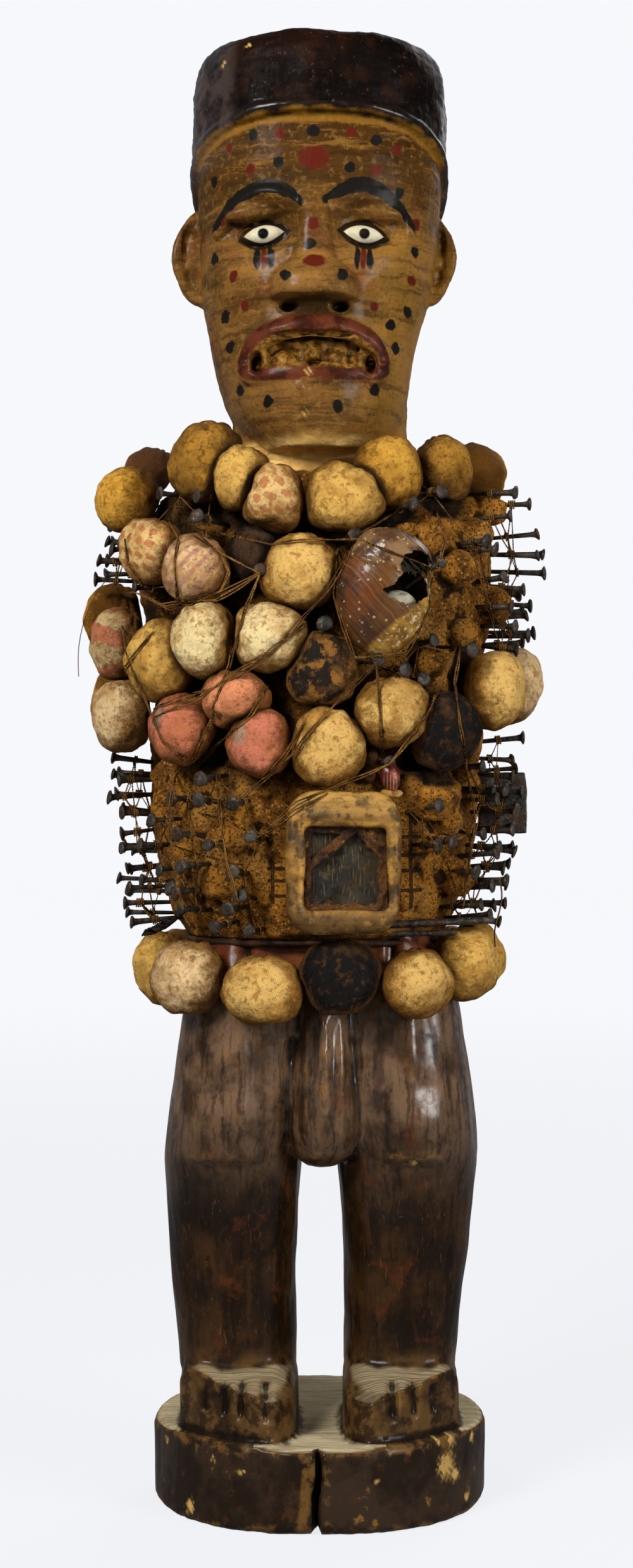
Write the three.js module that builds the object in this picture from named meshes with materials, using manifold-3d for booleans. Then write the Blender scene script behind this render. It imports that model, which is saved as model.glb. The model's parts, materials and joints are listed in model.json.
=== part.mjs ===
// A standing power figure of carved wood. Cap, head, torso, legs, feet and round base are one
// block. A coat of earth and resin covers the torso and carries a belly box with a dark pane,
// iron nails tied with twine, a broken snail shell and many small cloth bundles.
// X runs to the right of the front view, the figure looks along -Y, and Z is up from the
// underside of the base.

import * as THREE from 'three';
import { mergeVertices } from 'three/addons/utils/BufferGeometryUtils.js';
import Module from 'manifold-3d';

const wasm = await Module();
wasm.setup();

// Driving dimensions, in millimetres
const HEIGHT = 995;
const BASE = { radius: 112, height: 57, rimHeight: 50, centreY: 17 };
const FOOT = { centreX: 55, halfWide: 39, toeY: -90, heelY: 56, height: 102, grooves: 4 };
const BELT_HEIGHT = 366;
const CRUST = { bottom: 390, top: 702, centreX: -4, square: 2.3, sides: 20 };
const BOX = { x: 15, z: 442, halfWide: 37, halfHigh: 46, corner: 15, frontY: -124, deep: 42 };
const RECESS = { x: 17, z: 438, half: 27, deep: 32, corner: 2 };
const HEAD_SIDES = 20;
const TORSO_SIDES = 16;
const EYE = { x: 32, z: 859 };
const MOUTH = { z: 777, half: 45 };
const CAP_SLOPE = 0.42;
const NAIL = { shank: 2.1, head: 4.8, headThick: 2.5 };
const TWINE = 1.3;
const GAP = 0.3;
const FACET_SWELL = 1.14;
const BUNDLE_CLEARANCE = 3.5;
const FRONT = -Math.PI / 2;

// Colours and surfaces
const finish = (color, roughness, metalness = 0) => (
  new THREE.MeshStandardMaterial({ color, roughness, metalness })
);
const wood = finish('#4a2f20', 0.5);
const earth = finish('#8a5a2b', 0.95);
const boxWood = finish('#8f7440', 0.6);
const resin = finish('#4a3420', 0.9);
const pane = finish('#23231f', 0.3);
const iron = finish('#3a3836', 0.6, 0.7);
const shellBrown = finish('#5a3a2c', 0.3);
const fibre = finish('#17140f', 0.7);
const cloths = {
  ochre: finish('#b08c4a', 0.9),
  light: finish('#c9b27a', 0.9),
  pink: finish('#c4746a', 0.9),
  checked: finish('#c49878', 0.9),
  brown: finish('#54402c', 0.95),
  black: finish('#1d1c1d', 0.8),
};

const figure = new THREE.Group();

function place(name, geometry, material) {
  const mesh = new THREE.Mesh(geometry, material);
  mesh.name = name;
  figure.add(mesh);
}

// Solids for joining and cutting
function solid(geometry) {
  const bare = geometry.clone();
  bare.deleteAttribute('normal');
  bare.deleteAttribute('uv');
  const merged = mergeVertices(bare, 1e-4);
  return new wasm.Manifold(new wasm.Mesh({
    numProp: 3,
    vertProperties: new Float32Array(merged.attributes.position.array),
    triVerts: new Uint32Array(merged.index.array),
  }));
}

function surface(manifold) {
  const { vertProperties, triVerts } = manifold.getMesh();
  const geometry = new THREE.BufferGeometry();
  geometry.setAttribute('position', new THREE.BufferAttribute(vertProperties, 3));
  geometry.setIndex(new THREE.BufferAttribute(triVerts, 1));
  return geometry;
}

const joined = (geometries) => geometries.map(solid).reduce((all, next) => all.add(next));

// The radius of a superellipse in the direction of an angle
function reachOf(angle, halfX, halfY, square) {
  const across = Math.abs(Math.cos(angle) / halfX) ** square;
  const along = Math.abs(Math.sin(angle) / halfY) ** square;
  return (across + along) ** (-1 / square);
}

// A section between the keys of a loft, straight or along a smooth curve
function sectionAt(keys, share, smooth) {
  const step = share * (keys.length - 1);
  const low = Math.min(Math.floor(step), keys.length - 2);
  const t = step - low;
  const key = (index) => keys[Math.min(Math.max(index, 0), keys.length - 1)];
  const section = {};
  for (const [name, rest] of Object.entries({ x: 0, y: 0, z: 0, wide: 0, front: 0, back: 0, square: 2 })) {
    const [before, from, to, after] = [-1, 0, 1, 2].map((shift) => key(low + shift)[name] ?? rest);
    const straight = from + (to - from) * t;
    const pull = (to - before) * t * (1 - t) ** 2 / 2 - (after - from) * t * t * (1 - t) / 2;
    const curve = from + (to - from) * t * t * (3 - 2 * t) + pull;
    section[name] = smooth ? curve : straight;
  }
  return section;
}

// A solid of superellipse sections one above the other: each key gives the height z, the
// centre x and y, the half width and the depths in front of and behind the centre.
function loft(keys, sides, rowsPerKey = 1) {
  const rows = (keys.length - 1) * rowsPerKey;
  const geometry = new THREE.CylinderGeometry(1, 1, 1, sides, rows);
  geometry.rotateX(Math.PI / 2);
  const points = geometry.attributes.position;
  for (let i = 0; i < points.count; i += 1) {
    const section = sectionAt(keys, points.getZ(i) + 0.5, rowsPerKey > 1);
    const angle = Math.atan2(points.getY(i), points.getX(i));
    const away = Math.hypot(points.getX(i), points.getY(i));
    const depth = angle < 0 ? section.front : section.back;
    const reach = away * reachOf(angle, section.wide, depth, section.square);
    points.setXYZ(
      i,
      section.x + reach * Math.cos(angle),
      section.y + reach * Math.sin(angle),
      section.z,
    );
  }
  return geometry;
}

// A rounded lump with half sizes along X, Y and Z, turned and moved into place
function lump([x, y, z], [halfX, halfY, halfZ], { sides = 8, rows = 5, turn = [0, 0, 0] } = {}) {
  const geometry = new THREE.SphereGeometry(1, sides, rows);
  geometry.rotateX(Math.PI / 2);
  geometry.scale(halfX, halfY, halfZ);
  geometry.rotateX(turn[0]);
  geometry.rotateY(turn[1]);
  geometry.rotateZ(turn[2]);
  geometry.translate(x, y, z);
  return geometry;
}

function block([x, y, z], [sizeX, sizeY, sizeZ], turn = [0, 0, 0]) {
  const geometry = new THREE.BoxGeometry(sizeX, sizeY, sizeZ);
  geometry.rotateX(turn[0]);
  geometry.rotateY(turn[1]);
  geometry.rotateZ(turn[2]);
  geometry.translate(x, y, z);
  return geometry;
}

// Base, feet and legs
function base() {
  const ring = (z, radius) => (
    { z, y: BASE.centreY, wide: radius, front: radius, back: radius, square: 2.2 }
  );
  return loft([
    ring(0, BASE.radius - 4),
    ring(5, BASE.radius),
    ring(BASE.rimHeight, BASE.radius),
    ring(BASE.height, BASE.radius - 14),
  ], 24);
}

// A foot keeps inside the round edge of the base
function foot(side) {
  const centreY = (FOOT.toeY + FOOT.heelY) / 2;
  const length = (FOOT.heelY - FOOT.toeY) / 2;
  const slice = (z, wide, front, back) => (
    { z, x: side * FOOT.centreX, y: centreY, wide, front, back, square: 3.6 }
  );
  const inset = { y: BASE.centreY, wide: BASE.radius - 5, front: BASE.radius - 5, back: BASE.radius };
  const within = loft([{ z: 0, ...inset }, { z: 200, ...inset }], 20);
  const block = loft([
    slice(BASE.rimHeight, FOOT.halfWide + 1, length - 1, length),
    slice(66, FOOT.halfWide, length, length - 2),
    slice(88, FOOT.halfWide, length - 2, length - 6),
    slice(97, FOOT.halfWide - 3, length - 9, length - 8),
    slice(FOOT.height, FOOT.halfWide - 10, length - 22, length - 10),
  ], 12);
  return solid(block).intersect(solid(within));
}

function toeGrooves(side) {
  const toes = FOOT.grooves + 1;
  const grooves = [];
  for (let i = 1; i < toes; i += 1) {
    const share = (i / toes) ** 0.85;
    const x = side * (FOOT.centreX - FOOT.halfWide + 2 * FOOT.halfWide * share);
    const groove = new THREE.CylinderGeometry(3.6, 3.6, 46, 3);
    groove.rotateX(Math.PI / 2 - 0.16);
    const edgeY = BASE.centreY - Math.sqrt((BASE.radius - 5) ** 2 - x ** 2);
    groove.translate(x, Math.max(edgeY, FOOT.toeY) + 1, 90);
    grooves.push(groove);
  }
  return grooves;
}

function leg(side, keys) {
  return loft(keys.map(([z, inner, outer, front, back]) => ({
    z,
    x: side * (inner + outer) / 2,
    wide: (outer - inner) / 2,
    front,
    back,
    square: 2.7,
  })), 12);
}

// Each leg key: height, inner side, outer side, depth in front and behind
const rightLegKeys = [
  [96, 17, 96, 50, 50],
  [125, 18, 98, 50, 50],
  [170, 17, 101, 54, 52],
  [210, 14, 103, 60, 52],
  [238, 11, 104, 63, 54],
  [247, 10, 103, 73, 56],
  [265, 8, 102, 77, 58],
  [300, 5, 98, 76, 64],
  [345, 2, 89, 70, 74],
  [385, 1, 80, 62, 72],
];
const leftLegKeys = [
  [96, 17, 90, 50, 50],
  [125, 17, 92, 50, 50],
  [170, 17, 98, 54, 52],
  [210, 14, 103, 60, 52],
  [238, 12, 107, 63, 54],
  [247, 11, 107, 72, 56],
  [265, 9, 106, 76, 58],
  [300, 6, 100, 76, 64],
  [345, 2, 88, 70, 74],
  [385, 1, 80, 62, 72],
];

function loins() {
  return loft([
    { z: 237, x: 3, y: -50, wide: 8, front: 12, back: 10 },
    { z: 243, x: 3, y: -50, wide: 17, front: 26, back: 22 },
    { z: 260, x: 3, y: -48, wide: 21.5, front: 36, back: 26 },
    { z: 300, x: 3, y: -46, wide: 21, front: 38, back: 30 },
    { z: 350, x: 3, y: -44, wide: 16, front: 34, back: 30 },
  ], 10);
}

// The torso is hidden in the crust from above the hips to the foot of the neck
const torsoKeys = [
  { z: 325, wide: 89, front: 68, back: 76, square: 2.5 },
  { z: 355, wide: 86, front: 66, back: 76, square: 2.5 },
  { z: 384, wide: 80, front: 64, back: 66, square: 2.4 },
  { z: 402, wide: 72, front: 58, back: 58, square: 2.3 },
  { z: 660, wide: 80, front: 56, back: 60, square: 2.3 },
  { z: 712, wide: 62, front: 52, back: 58, square: 2.2 },
];
const neckKeys = [
  { z: 700, wide: 62, front: 52, back: 58 },
  { z: 728, wide: 59, front: 50, back: 60 },
  { z: 775, wide: 60, front: 50, back: 66 },
];

// Head: the jaw is narrow, the cheeks are flat and the brow is the widest part
const headKeys = [
  { z: 717, y: -20, wide: 34, front: 54, back: 40, square: 2.2 },
  { z: 728, y: -10, wide: 51, front: 78, back: 52, square: 2.2 },
  { z: 750, wide: 62, front: 92, back: 70, square: 2.3 },
  { z: 790, wide: 69, front: 90, back: 88, square: 2.4 },
  { z: 825, wide: 77, front: 87, back: 95, square: 2.5 },
  { z: 862, wide: 81, front: 85, back: 98, square: 2.5 },
  { z: 905, wide: 84, front: 87, back: 99, square: 2.5 },
  { z: 950, wide: 82, front: 84, back: 96, square: 2.5 },
];

function nose() {
  return loft([
    { z: 806, y: -84, wide: 25, front: 10, back: 8, square: 2.6 },
    { z: 812, y: -84, wide: 29, front: 22, back: 8, square: 2.6 },
    { z: 826, y: -84, wide: 27, front: 23, back: 8, square: 2.6 },
    { z: 838, y: -82, wide: 15, front: 17, back: 8 },
    { z: 866, y: -80, wide: 9, front: 13, back: 8 },
    { z: 886, y: -80, wide: 13, front: 6, back: 8 },
  ], 10);
}

function lips() {
  const ring = new THREE.TorusGeometry(1, 0.16, 4, 12);
  ring.rotateX(Math.PI / 2);
  const points = ring.attributes.position;
  for (let i = 0; i < points.count; i += 1) {
    const angle = Math.atan2(points.getZ(i), points.getX(i));
    const away = Math.hypot(points.getX(i), points.getZ(i));
    const x = MOUTH.half * away * Math.cos(angle);
    const rise = Math.sin(angle) > 0 ? 17 : 14;
    const thick = (away - 1) * 34;
    points.setXYZ(
      i,
      x,
      -89 + points.getY(i) * 50 + 16 * (x / MOUTH.half) ** 2,
      MOUTH.z + rise * Math.sin(angle) + thick * Math.sin(angle) - 8 * Math.cos(angle) ** 2,
    );
  }
  return ring;
}

function teeth() {
  return [-1, 1].map((side) => lump([side * 17, -80, 768], [10, 8, 11], { sides: 5, rows: 4 }));
}

function ear(side) {
  return lump([side * 84, 8, 857], [22, 11, 33], { sides: 7, rows: 6, turn: [0, 0, side * 0.25] });
}

function eye(side) {
  return lump([side * EYE.x, -70, EYE.z], [18, 13, 8], { sides: 8, rows: 4 });
}

function eyeSocket(side) {
  return lump([side * 35, -98, EYE.z + 1], [30, 25, 17], { sides: 8, rows: 5 });
}

function browRidge(side) {
  return lump([side * 38, -65, 881], [36, 19, 6], { sides: 8, rows: 4, turn: [0, side * 0.1, 0] });
}

// A round cap with upright sides, cut below along a plane that slopes down to the back
function cap() {
  const body = loft([
    { z: 855, wide: 86, front: 88, back: 102, square: 2.4 },
    { z: 925, wide: 87, front: 90, back: 102, square: 2.4 },
    { z: 968, wide: 86, front: 88, back: 101, square: 2.4 },
    { z: HEIGHT - 13, wide: 82, front: 84, back: 97, square: 2.4 },
    { z: HEIGHT - 5, wide: 70, front: 72, back: 84, square: 2.4 },
    { z: HEIGHT, wide: 40, front: 42, back: 50, square: 2.2 },
  ], HEAD_SIDES);
  const below = block([0, 0, -100], [300, 400, 200]);
  below.rotateX(-Math.atan(CAP_SLOPE));
  below.translate(0, 0, 905);
  return solid(body).subtract(solid(below));
}

function carvedFigure() {
  const crack = block([-2, BASE.centreY - BASE.radius, 30], [3.6, 62, 70], [0, 0.02, 0]);
  const mouthHollow = lump([0, -96, MOUTH.z + 1], [38, 24, 11], { sides: 9, rows: 4 });
  const face = solid(loft(headKeys, HEAD_SIDES, 2))
    .subtract(solid(eyeSocket(-1)))
    .subtract(solid(eyeSocket(1)))
    .add(joined([nose(), lips(), browRidge(-1), browRidge(1), eye(-1), eye(1)]))
    .subtract(solid(mouthHollow))
    .add(joined([...teeth(), ear(-1), ear(1)]));
  const below = joined([
    base(),
    leg(1, rightLegKeys),
    leg(-1, leftLegKeys),
    loft(torsoKeys, TORSO_SIDES),
    loft(neckKeys, TORSO_SIDES),
    loins(),
  ]).add(foot(-1)).add(foot(1)).subtract(joined([crack, ...toeGrooves(-1), ...toeGrooves(1)]));
  return below.add(face).add(cap());
}

// The crust is a barrel with rounded shoulders; its bottom edge stands over the hips
const crustKeys = [
  { z: CRUST.bottom, wide: 88, front: 74, back: 74 },
  { z: 405, wide: 97, front: 80, back: 80 },
  { z: 430, wide: 104, front: 85, back: 85 },
  { z: 460, wide: 111, front: 89, back: 90 },
  { z: 510, wide: 114, front: 92, back: 93 },
  { z: 565, wide: 117, front: 92, back: 94 },
  { z: 625, wide: 122, front: 91, back: 94 },
  { z: 665, wide: 122, front: 84, back: 91 },
  { z: 690, wide: 113, front: 74, back: 84 },
  { z: CRUST.top, wide: 95, front: 62, back: 74 },
].map((key) => ({ ...key, x: CRUST.centreX, square: CRUST.square }));

// The barrel of hips and thighs that the waist bundles hang on
const hipKeys = [
  { z: 320, wide: 98, front: 81, back: 84, square: 3.4 },
  { z: 350, wide: 92, front: 77, back: 82, square: 3.2 },
  { z: 376, wide: 89, front: 75, back: 77, square: 2.6 },
  { z: 400, wide: 89, front: 75, back: 76, square: 2.4 },
];

// A place on a barrel of sections, by azimuth in degrees from the front, height and distance
// out from the surface; a positive azimuth turns to the right of the front view.
function spot(keys, azimuth, z, out) {
  const found = keys.findIndex((key) => key.z > z);
  const above = Math.min(Math.max(found < 0 ? keys.length - 1 : found, 1), keys.length - 1);
  const [low, high] = [keys[above - 1], keys[above]];
  const t = THREE.MathUtils.clamp((z - low.z) / (high.z - low.z), 0, 1);
  const mix = (name) => THREE.MathUtils.lerp(low[name] ?? 0, high[name] ?? 0, t);
  const angle = FRONT + THREE.MathUtils.degToRad(azimuth);
  const depth = Math.sin(angle) < 0 ? mix('front') : mix('back');
  const reach = reachOf(angle, mix('wide'), depth, mix('square')) + out;
  return new THREE.Vector3(mix('x') + reach * Math.cos(angle), reach * Math.sin(angle), z);
}

// Lumps of earth on the shoulder and flank, each with azimuth, height and half sizes
const earthLumps = [
  [72, 672, 24, 18],
  [52, 628, 18, 20],
  [46, 590, 16, 14],
  [36, 502, 19, 24],
  [-42, 488, 30, 18],
];

const lumpForms = earthLumps.map(([azimuth, z, across, up]) => ({
  centre: spot(crustKeys, azimuth, z, -6),
  half: new THREE.Vector3(across, 14, up),
  turn: THREE.MathUtils.degToRad(azimuth),
  lean: 0,
}));

function crustLumps(grow = 0) {
  return joined(lumpForms.map(({ centre, half, turn }) => (
    lump(centre, half.toArray().map((size) => size + grow), { sides: 6, rows: 4, turn: [0, 0, turn] })
  )));
}

function crust() {
  const body = solid(loft(crustKeys, CRUST.sides)).add(crustLumps());
  const grown = (keys) => keys.map((key) => ({
    ...key,
    wide: key.wide + GAP,
    front: key.front + GAP,
    back: key.back + GAP,
  }));
  return body
    .subtract(solid(loft(grown(torsoKeys), TORSO_SIDES)))
    .subtract(solid(loft(grown(neckKeys), TORSO_SIDES)))
    .subtract(solid(roundedSlab(BOX, GAP)));
}

// The belly box: a slab with rounded corners and eased edges, hollowed from the front
function roundedOutline(halfWide, halfHigh, corner) {
  const outline = new THREE.Shape();
  outline.moveTo(halfWide - corner, -halfHigh);
  outline.absarc(halfWide - corner, corner - halfHigh, corner, -Math.PI / 2, 0);
  outline.absarc(halfWide - corner, halfHigh - corner, corner, 0, Math.PI / 2);
  outline.absarc(corner - halfWide, halfHigh - corner, corner, Math.PI / 2, Math.PI);
  outline.absarc(corner - halfWide, corner - halfHigh, corner, Math.PI, Math.PI * 1.5);
  return outline;
}

function slab(outline, backY, depth, x, z, ease = 0) {
  const geometry = new THREE.ExtrudeGeometry(outline, {
    depth: depth - 2 * ease,
    curveSegments: 2,
    bevelEnabled: ease > 0,
    bevelThickness: ease,
    bevelSize: ease,
    bevelOffset: -ease,
    bevelSegments: 1,
  });
  geometry.rotateX(Math.PI / 2);
  geometry.translate(x, backY - ease, z);
  return geometry;
}

function roundedSlab({ x, z, halfWide, halfHigh, corner, frontY, deep }, grow = 0) {
  const outline = roundedOutline(halfWide + grow, halfHigh + grow, corner + grow);
  return slab(outline, frontY + deep + grow, deep + grow, x, z, grow > 0 ? 0 : 6);
}

function recessSlab(half, backY, depth) {
  return slab(roundedOutline(half, half, RECESS.corner), backY, depth, RECESS.x, RECESS.z);
}

function bellyBox() {
  const backY = BOX.frontY + RECESS.deep;
  return solid(roundedSlab(BOX)).subtract(solid(recessSlab(RECESS.half, backY, RECESS.deep + 5)));
}

function boxResin() {
  const bedBack = BOX.frontY + 12;
  const bed = solid(recessSlab(RECESS.half - GAP, bedBack, 7));
  const window = solid(recessSlab(RECESS.half - 7, bedBack + 2, 12));
  const ridge = solid(block(
    [RECESS.x - 6, bedBack - 4.5, RECESS.z + 15],
    [48, 5, 7],
    [0, -0.5, 0],
  )).intersect(solid(recessSlab(RECESS.half - GAP, bedBack, 9)));
  return bed.subtract(window).add(ridge);
}

function boxPane() {
  const paneBack = BOX.frontY + 15;
  return solid(recessSlab(RECESS.half - GAP, paneBack, 2.6));
}

function waistHoop() {
  const hoop = (wide, front, back, low, high) => {
    const section = { wide, front, back, square: 2.3 };
    return solid(loft([{ z: low, ...section }, { z: high, ...section }], 20));
  };
  const top = CRUST.bottom - GAP;
  return hoop(87, 72, 74, top - 4.5, top).subtract(hoop(81.5, 66, 68, top - 10, top + 5));
}

// Broken snail shell: a hollow, pear-shaped whorl with a jagged mouth to the right
function snailShell() {
  const centre = [41, -116, 616];
  const turn = [0.15, 0, 0.1];
  const whorl = (grow, sides) => lump(
    centre,
    [31 + grow, 24 + grow, 41 + grow],
    { sides, rows: 7, turn },
  );
  const mouth = lump([63, -140, 623], [22, 30, 18], { sides: 5, rows: 4, turn: [0, 0.5, 0.4] });
  const overlap = lump([48, -118, 640], [25, 21, 17], { sides: 8, rows: 5, turn: [0, 0.4, 0] });
  return solid(whorl(0, 10))
    .add(solid(overlap))
    .subtract(solid(whorl(-2.4, 8)))
    .subtract(solid(mouth));
}

// Cloth bundles. Each rests on what carries it and is pressed flat where it meets a
// neighbour, so no two of them share space.
const bundles = [];

function bundle(name, cloth, azimuth, z, [across, up, out], { on = crustKeys, lean = 0 } = {}) {
  const centre = spot(on, azimuth, z, out * 0.86);
  const turn = THREE.MathUtils.degToRad(azimuth);
  bundles.push({ name, cloth, centre, turn, lean, half: new THREE.Vector3(across, out, up), on });
}

function collarBundles() {
  bundle('collar_bundle_01', 'ochre', -74, 684, [23, 23, 22]);
  bundle('collar_bundle_02', 'ochre', -47, 706, [27, 27, 24]);
  bundle('collar_bundle_03', 'ochre', -30, 694, [22, 22, 20]);
  bundle('collar_bundle_04', 'checked', -14, 678, [22, 25, 20]);
  bundle('collar_bundle_05', 'light', 10, 678, [28, 25, 21]);
  bundle('collar_bundle_06', 'ochre', 32, 698, [25, 26, 22]);
  bundle('collar_bundle_07', 'ochre', 60, 705, [20, 22, 18]);
  bundle('collar_bundle_08', 'pink', -92, 708, [22, 18, 20]);
  bundle('collar_bundle_09', 'ochre', 100, 706, [27, 24, 22]);
  bundle('collar_bundle_10', 'ochre', 148, 704, [28, 24, 22]);
  bundle('collar_bundle_11', 'ochre', -146, 706, [28, 24, 22]);
}

function chestBundles() {
  bundle('chest_bundle_01', 'pink', -57, 649, [22, 25, 19], { lean: -0.2 });
  bundle('chest_bundle_02', 'checked', -39, 633, [25, 25, 21], { lean: 0.2 });
  bundle('chest_bundle_03', 'brown', -23, 644, [17, 20, 12]);
  bundle('chest_bundle_04', 'light', -5, 631, [24, 25, 20]);
  bundle('chest_bundle_05', 'ochre', -99, 606, [20, 27, 22]);
  bundle('chest_bundle_06', 'pink', -76, 586, [18, 27, 20]);
  bundle('chest_bundle_07', 'ochre', -52, 574, [26, 27, 21]);
  bundle('chest_bundle_08', 'light', -36, 587, [22, 28, 22]);
  bundle('chest_bundle_09', 'light', -16, 588, [26, 23, 21]);
  bundle('chest_bundle_10', 'black', 3, 566, [22, 26, 18]);
  bundle('chest_bundle_11', 'ochre', -98, 549, [20, 27, 22]);
  bundle('chest_bundle_12', 'ochre', -74, 541, [24, 27, 21]);
  bundle('chest_bundle_13', 'pink', -45, 529, [24, 24, 20], { lean: 0.3 });
  bundle('chest_bundle_14', 'pink', -27, 549, [25, 21, 20], { lean: -0.2 });
  bundle('chest_bundle_15', 'pink', -18, 520, [23, 23, 19], { lean: -0.4 });
  bundle('chest_bundle_16', 'light', 4, 518, [25, 27, 21]);
  bundle('chest_bundle_17', 'light', 26, 539, [27, 24, 21], { lean: -0.3 });
  bundle('chest_bundle_18', 'black', 44, 527, [28, 27, 21]);
  bundle('chest_bundle_19', 'light', 65, 556, [22, 27, 21]);
  bundle('chest_bundle_20', 'brown', 86, 561, [22, 27, 22]);
}

function waistBundles() {
  const on = hipKeys;
  bundle('waist_bundle_01', 'ochre', -82, BELT_HEIGHT + 1, [24, 25, 21], { on });
  bundle('waist_bundle_02', 'light', -52, BELT_HEIGHT - 2, [28, 25, 22], { on });
  bundle('waist_bundle_03', 'light', -22, BELT_HEIGHT - 8, [29, 24, 22], { on });
  bundle('waist_bundle_04', 'black', 8, BELT_HEIGHT + 1, [28, 24, 22], { on });
  bundle('waist_bundle_05', 'light', 37, BELT_HEIGHT - 4, [27, 23, 22], { on });
  bundle('waist_bundle_06', 'ochre', 63, BELT_HEIGHT + 6, [24, 25, 21], { on });
  bundle('waist_bundle_07', 'ochre', 88, BELT_HEIGHT + 8, [22, 25, 21], { on });
  for (let i = 0; i < 4; i += 1) {
    const name = `waist_bundle_${String(8 + i).padStart(2, '0')}`;
    bundle(name, i % 2 ? 'light' : 'ochre', 123 + 39 * i, BELT_HEIGHT, [29, 24, 22], { on });
  }
}

// The distance from a bundle's centre to its skin in one direction
function skinDistance({ half, turn, lean }, direction) {
  const local = direction.clone().applyAxisAngle(new THREE.Vector3(0, 0, 1), -turn);
  local.applyAxisAngle(new THREE.Vector3(0, 1, 0), -lean);
  return 1 / Math.hypot(local.x / half.x, local.y / half.y, local.z / half.z);
}

// Planes that a bundle stays behind, each with its outward normal and distance
function pressingPlanes(own) {
  const planes = [];
  for (const other of [...bundles, ...lumpForms]) {
    const way = other.centre.clone().sub(own.centre);
    const apart = way.length();
    if (other !== own && apart < 75) {
      way.normalize();
      const ownReach = skinDistance(own, way);
      const otherReach = skinDistance(other, way.clone().negate());
      planes.push({ way, limit: apart * ownReach / (ownReach + otherReach) - GAP / 2 });
    }
  }
  for (const { point, keep } of ironAndTwineNear(own.centre)) {
    const way = point.clone().sub(own.centre);
    const apart = way.length();
    way.normalize();
    planes.push({ way, limit: apart - keep });
  }
  return planes;
}

function bundleShape(own) {
  const planes = pressingPlanes(own);
  const geometry = new THREE.SphereGeometry(1, 6, 5);
  geometry.rotateX(Math.PI / 2);
  geometry.scale(own.half.x * FACET_SWELL, own.half.y * FACET_SWELL, own.half.z);
  geometry.rotateY(own.lean);
  geometry.rotateZ(own.turn);
  const points = geometry.attributes.position;
  const offset = new THREE.Vector3();
  for (let i = 0; i < points.count; i += 1) {
    offset.fromBufferAttribute(points, i);
    let share = 1;
    for (const { way, limit } of planes) {
      const reach = offset.dot(way);
      share = reach > limit ? Math.min(share, limit / reach) : share;
    }
    offset.multiplyScalar(share).add(own.centre);
    const out = clearOf(own.on, offset, BUNDLE_CLEARANCE);
    points.setXYZ(i, out.x, out.y, out.z);
  }
  return geometry;
}

// The point itself, or the one straight outward from it that clears the barrel below it
function clearOf(keys, point, clearance) {
  const centreX = keys[0].x ?? 0;
  const azimuth = THREE.MathUtils.radToDeg(Math.atan2(point.y, point.x - centreX) - FRONT);
  const edge = spot(keys, azimuth, point.z, clearance);
  const inside = Math.hypot(point.x - centreX, point.y) < Math.hypot(edge.x - centreX, edge.y);
  return inside ? edge : point;
}

// Iron nails driven into the crust, joined by the twine that is tied round them. A nail is
// given by azimuth, height and length out of the crust, and may droop or rise.
function nailLine([azimuth, z, out, rise = 0]) {
  const root = spot(crustKeys, azimuth, z, 3 * GAP);
  const way = spot(crustKeys, azimuth, z, 60).sub(root).normalize();
  way.z = rise;
  way.normalize();
  return { root, way, neck: root.clone().addScaledVector(way, out * 0.72) };
}

function nail(stop) {
  const { root, way } = nailLine(stop);
  const out = stop[2];
  const profile = [
    [0, 0],
    [NAIL.shank, 0],
    [NAIL.shank, out - NAIL.headThick],
    [NAIL.head, out - NAIL.headThick / 2],
    [0, out],
  ].map(([radius, height]) => new THREE.Vector2(radius, height));
  const geometry = new THREE.LatheGeometry(profile, 4);
  const stand = new THREE.Quaternion().setFromUnitVectors(new THREE.Vector3(0, 1, 0), way);
  geometry.applyQuaternion(stand);
  geometry.translate(root.x, root.y, root.z);
  return geometry;
}

// A smooth path that an extrusion follows exactly through its own points
class StrandPath extends THREE.CatmullRomCurve3 {
  getUtoTmapping(share) {
    return share;
  }
}

function strandPoints(nails, slack = 3) {
  const points = [nailLine(nails[0]).neck];
  for (let i = 1; i < nails.length; i += 1) {
    const [from, to] = [nails[i - 1], nails[i]];
    const [azimuth, z, out] = [0, 1, 2].map((item) => (from[item] + to[item]) / 2);
    if (Math.abs(from[0] - to[0]) > 12) {
      points.push(spot(crustKeys, azimuth, z - slack, out * 0.72));
    }
    points.push(nailLine(to).neck);
  }
  return points;
}

function strand(points) {
  const corners = [0, 1, 2].map((corner) => {
    const angle = corner * Math.PI * 2 / 3;
    return new THREE.Vector2(TWINE * Math.cos(angle), TWINE * Math.sin(angle));
  });
  return new THREE.ExtrudeGeometry(new THREE.Shape(corners), {
    steps: points.length - 1,
    bevelEnabled: false,
    extrudePath: new StrandPath(points),
  });
}

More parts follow.
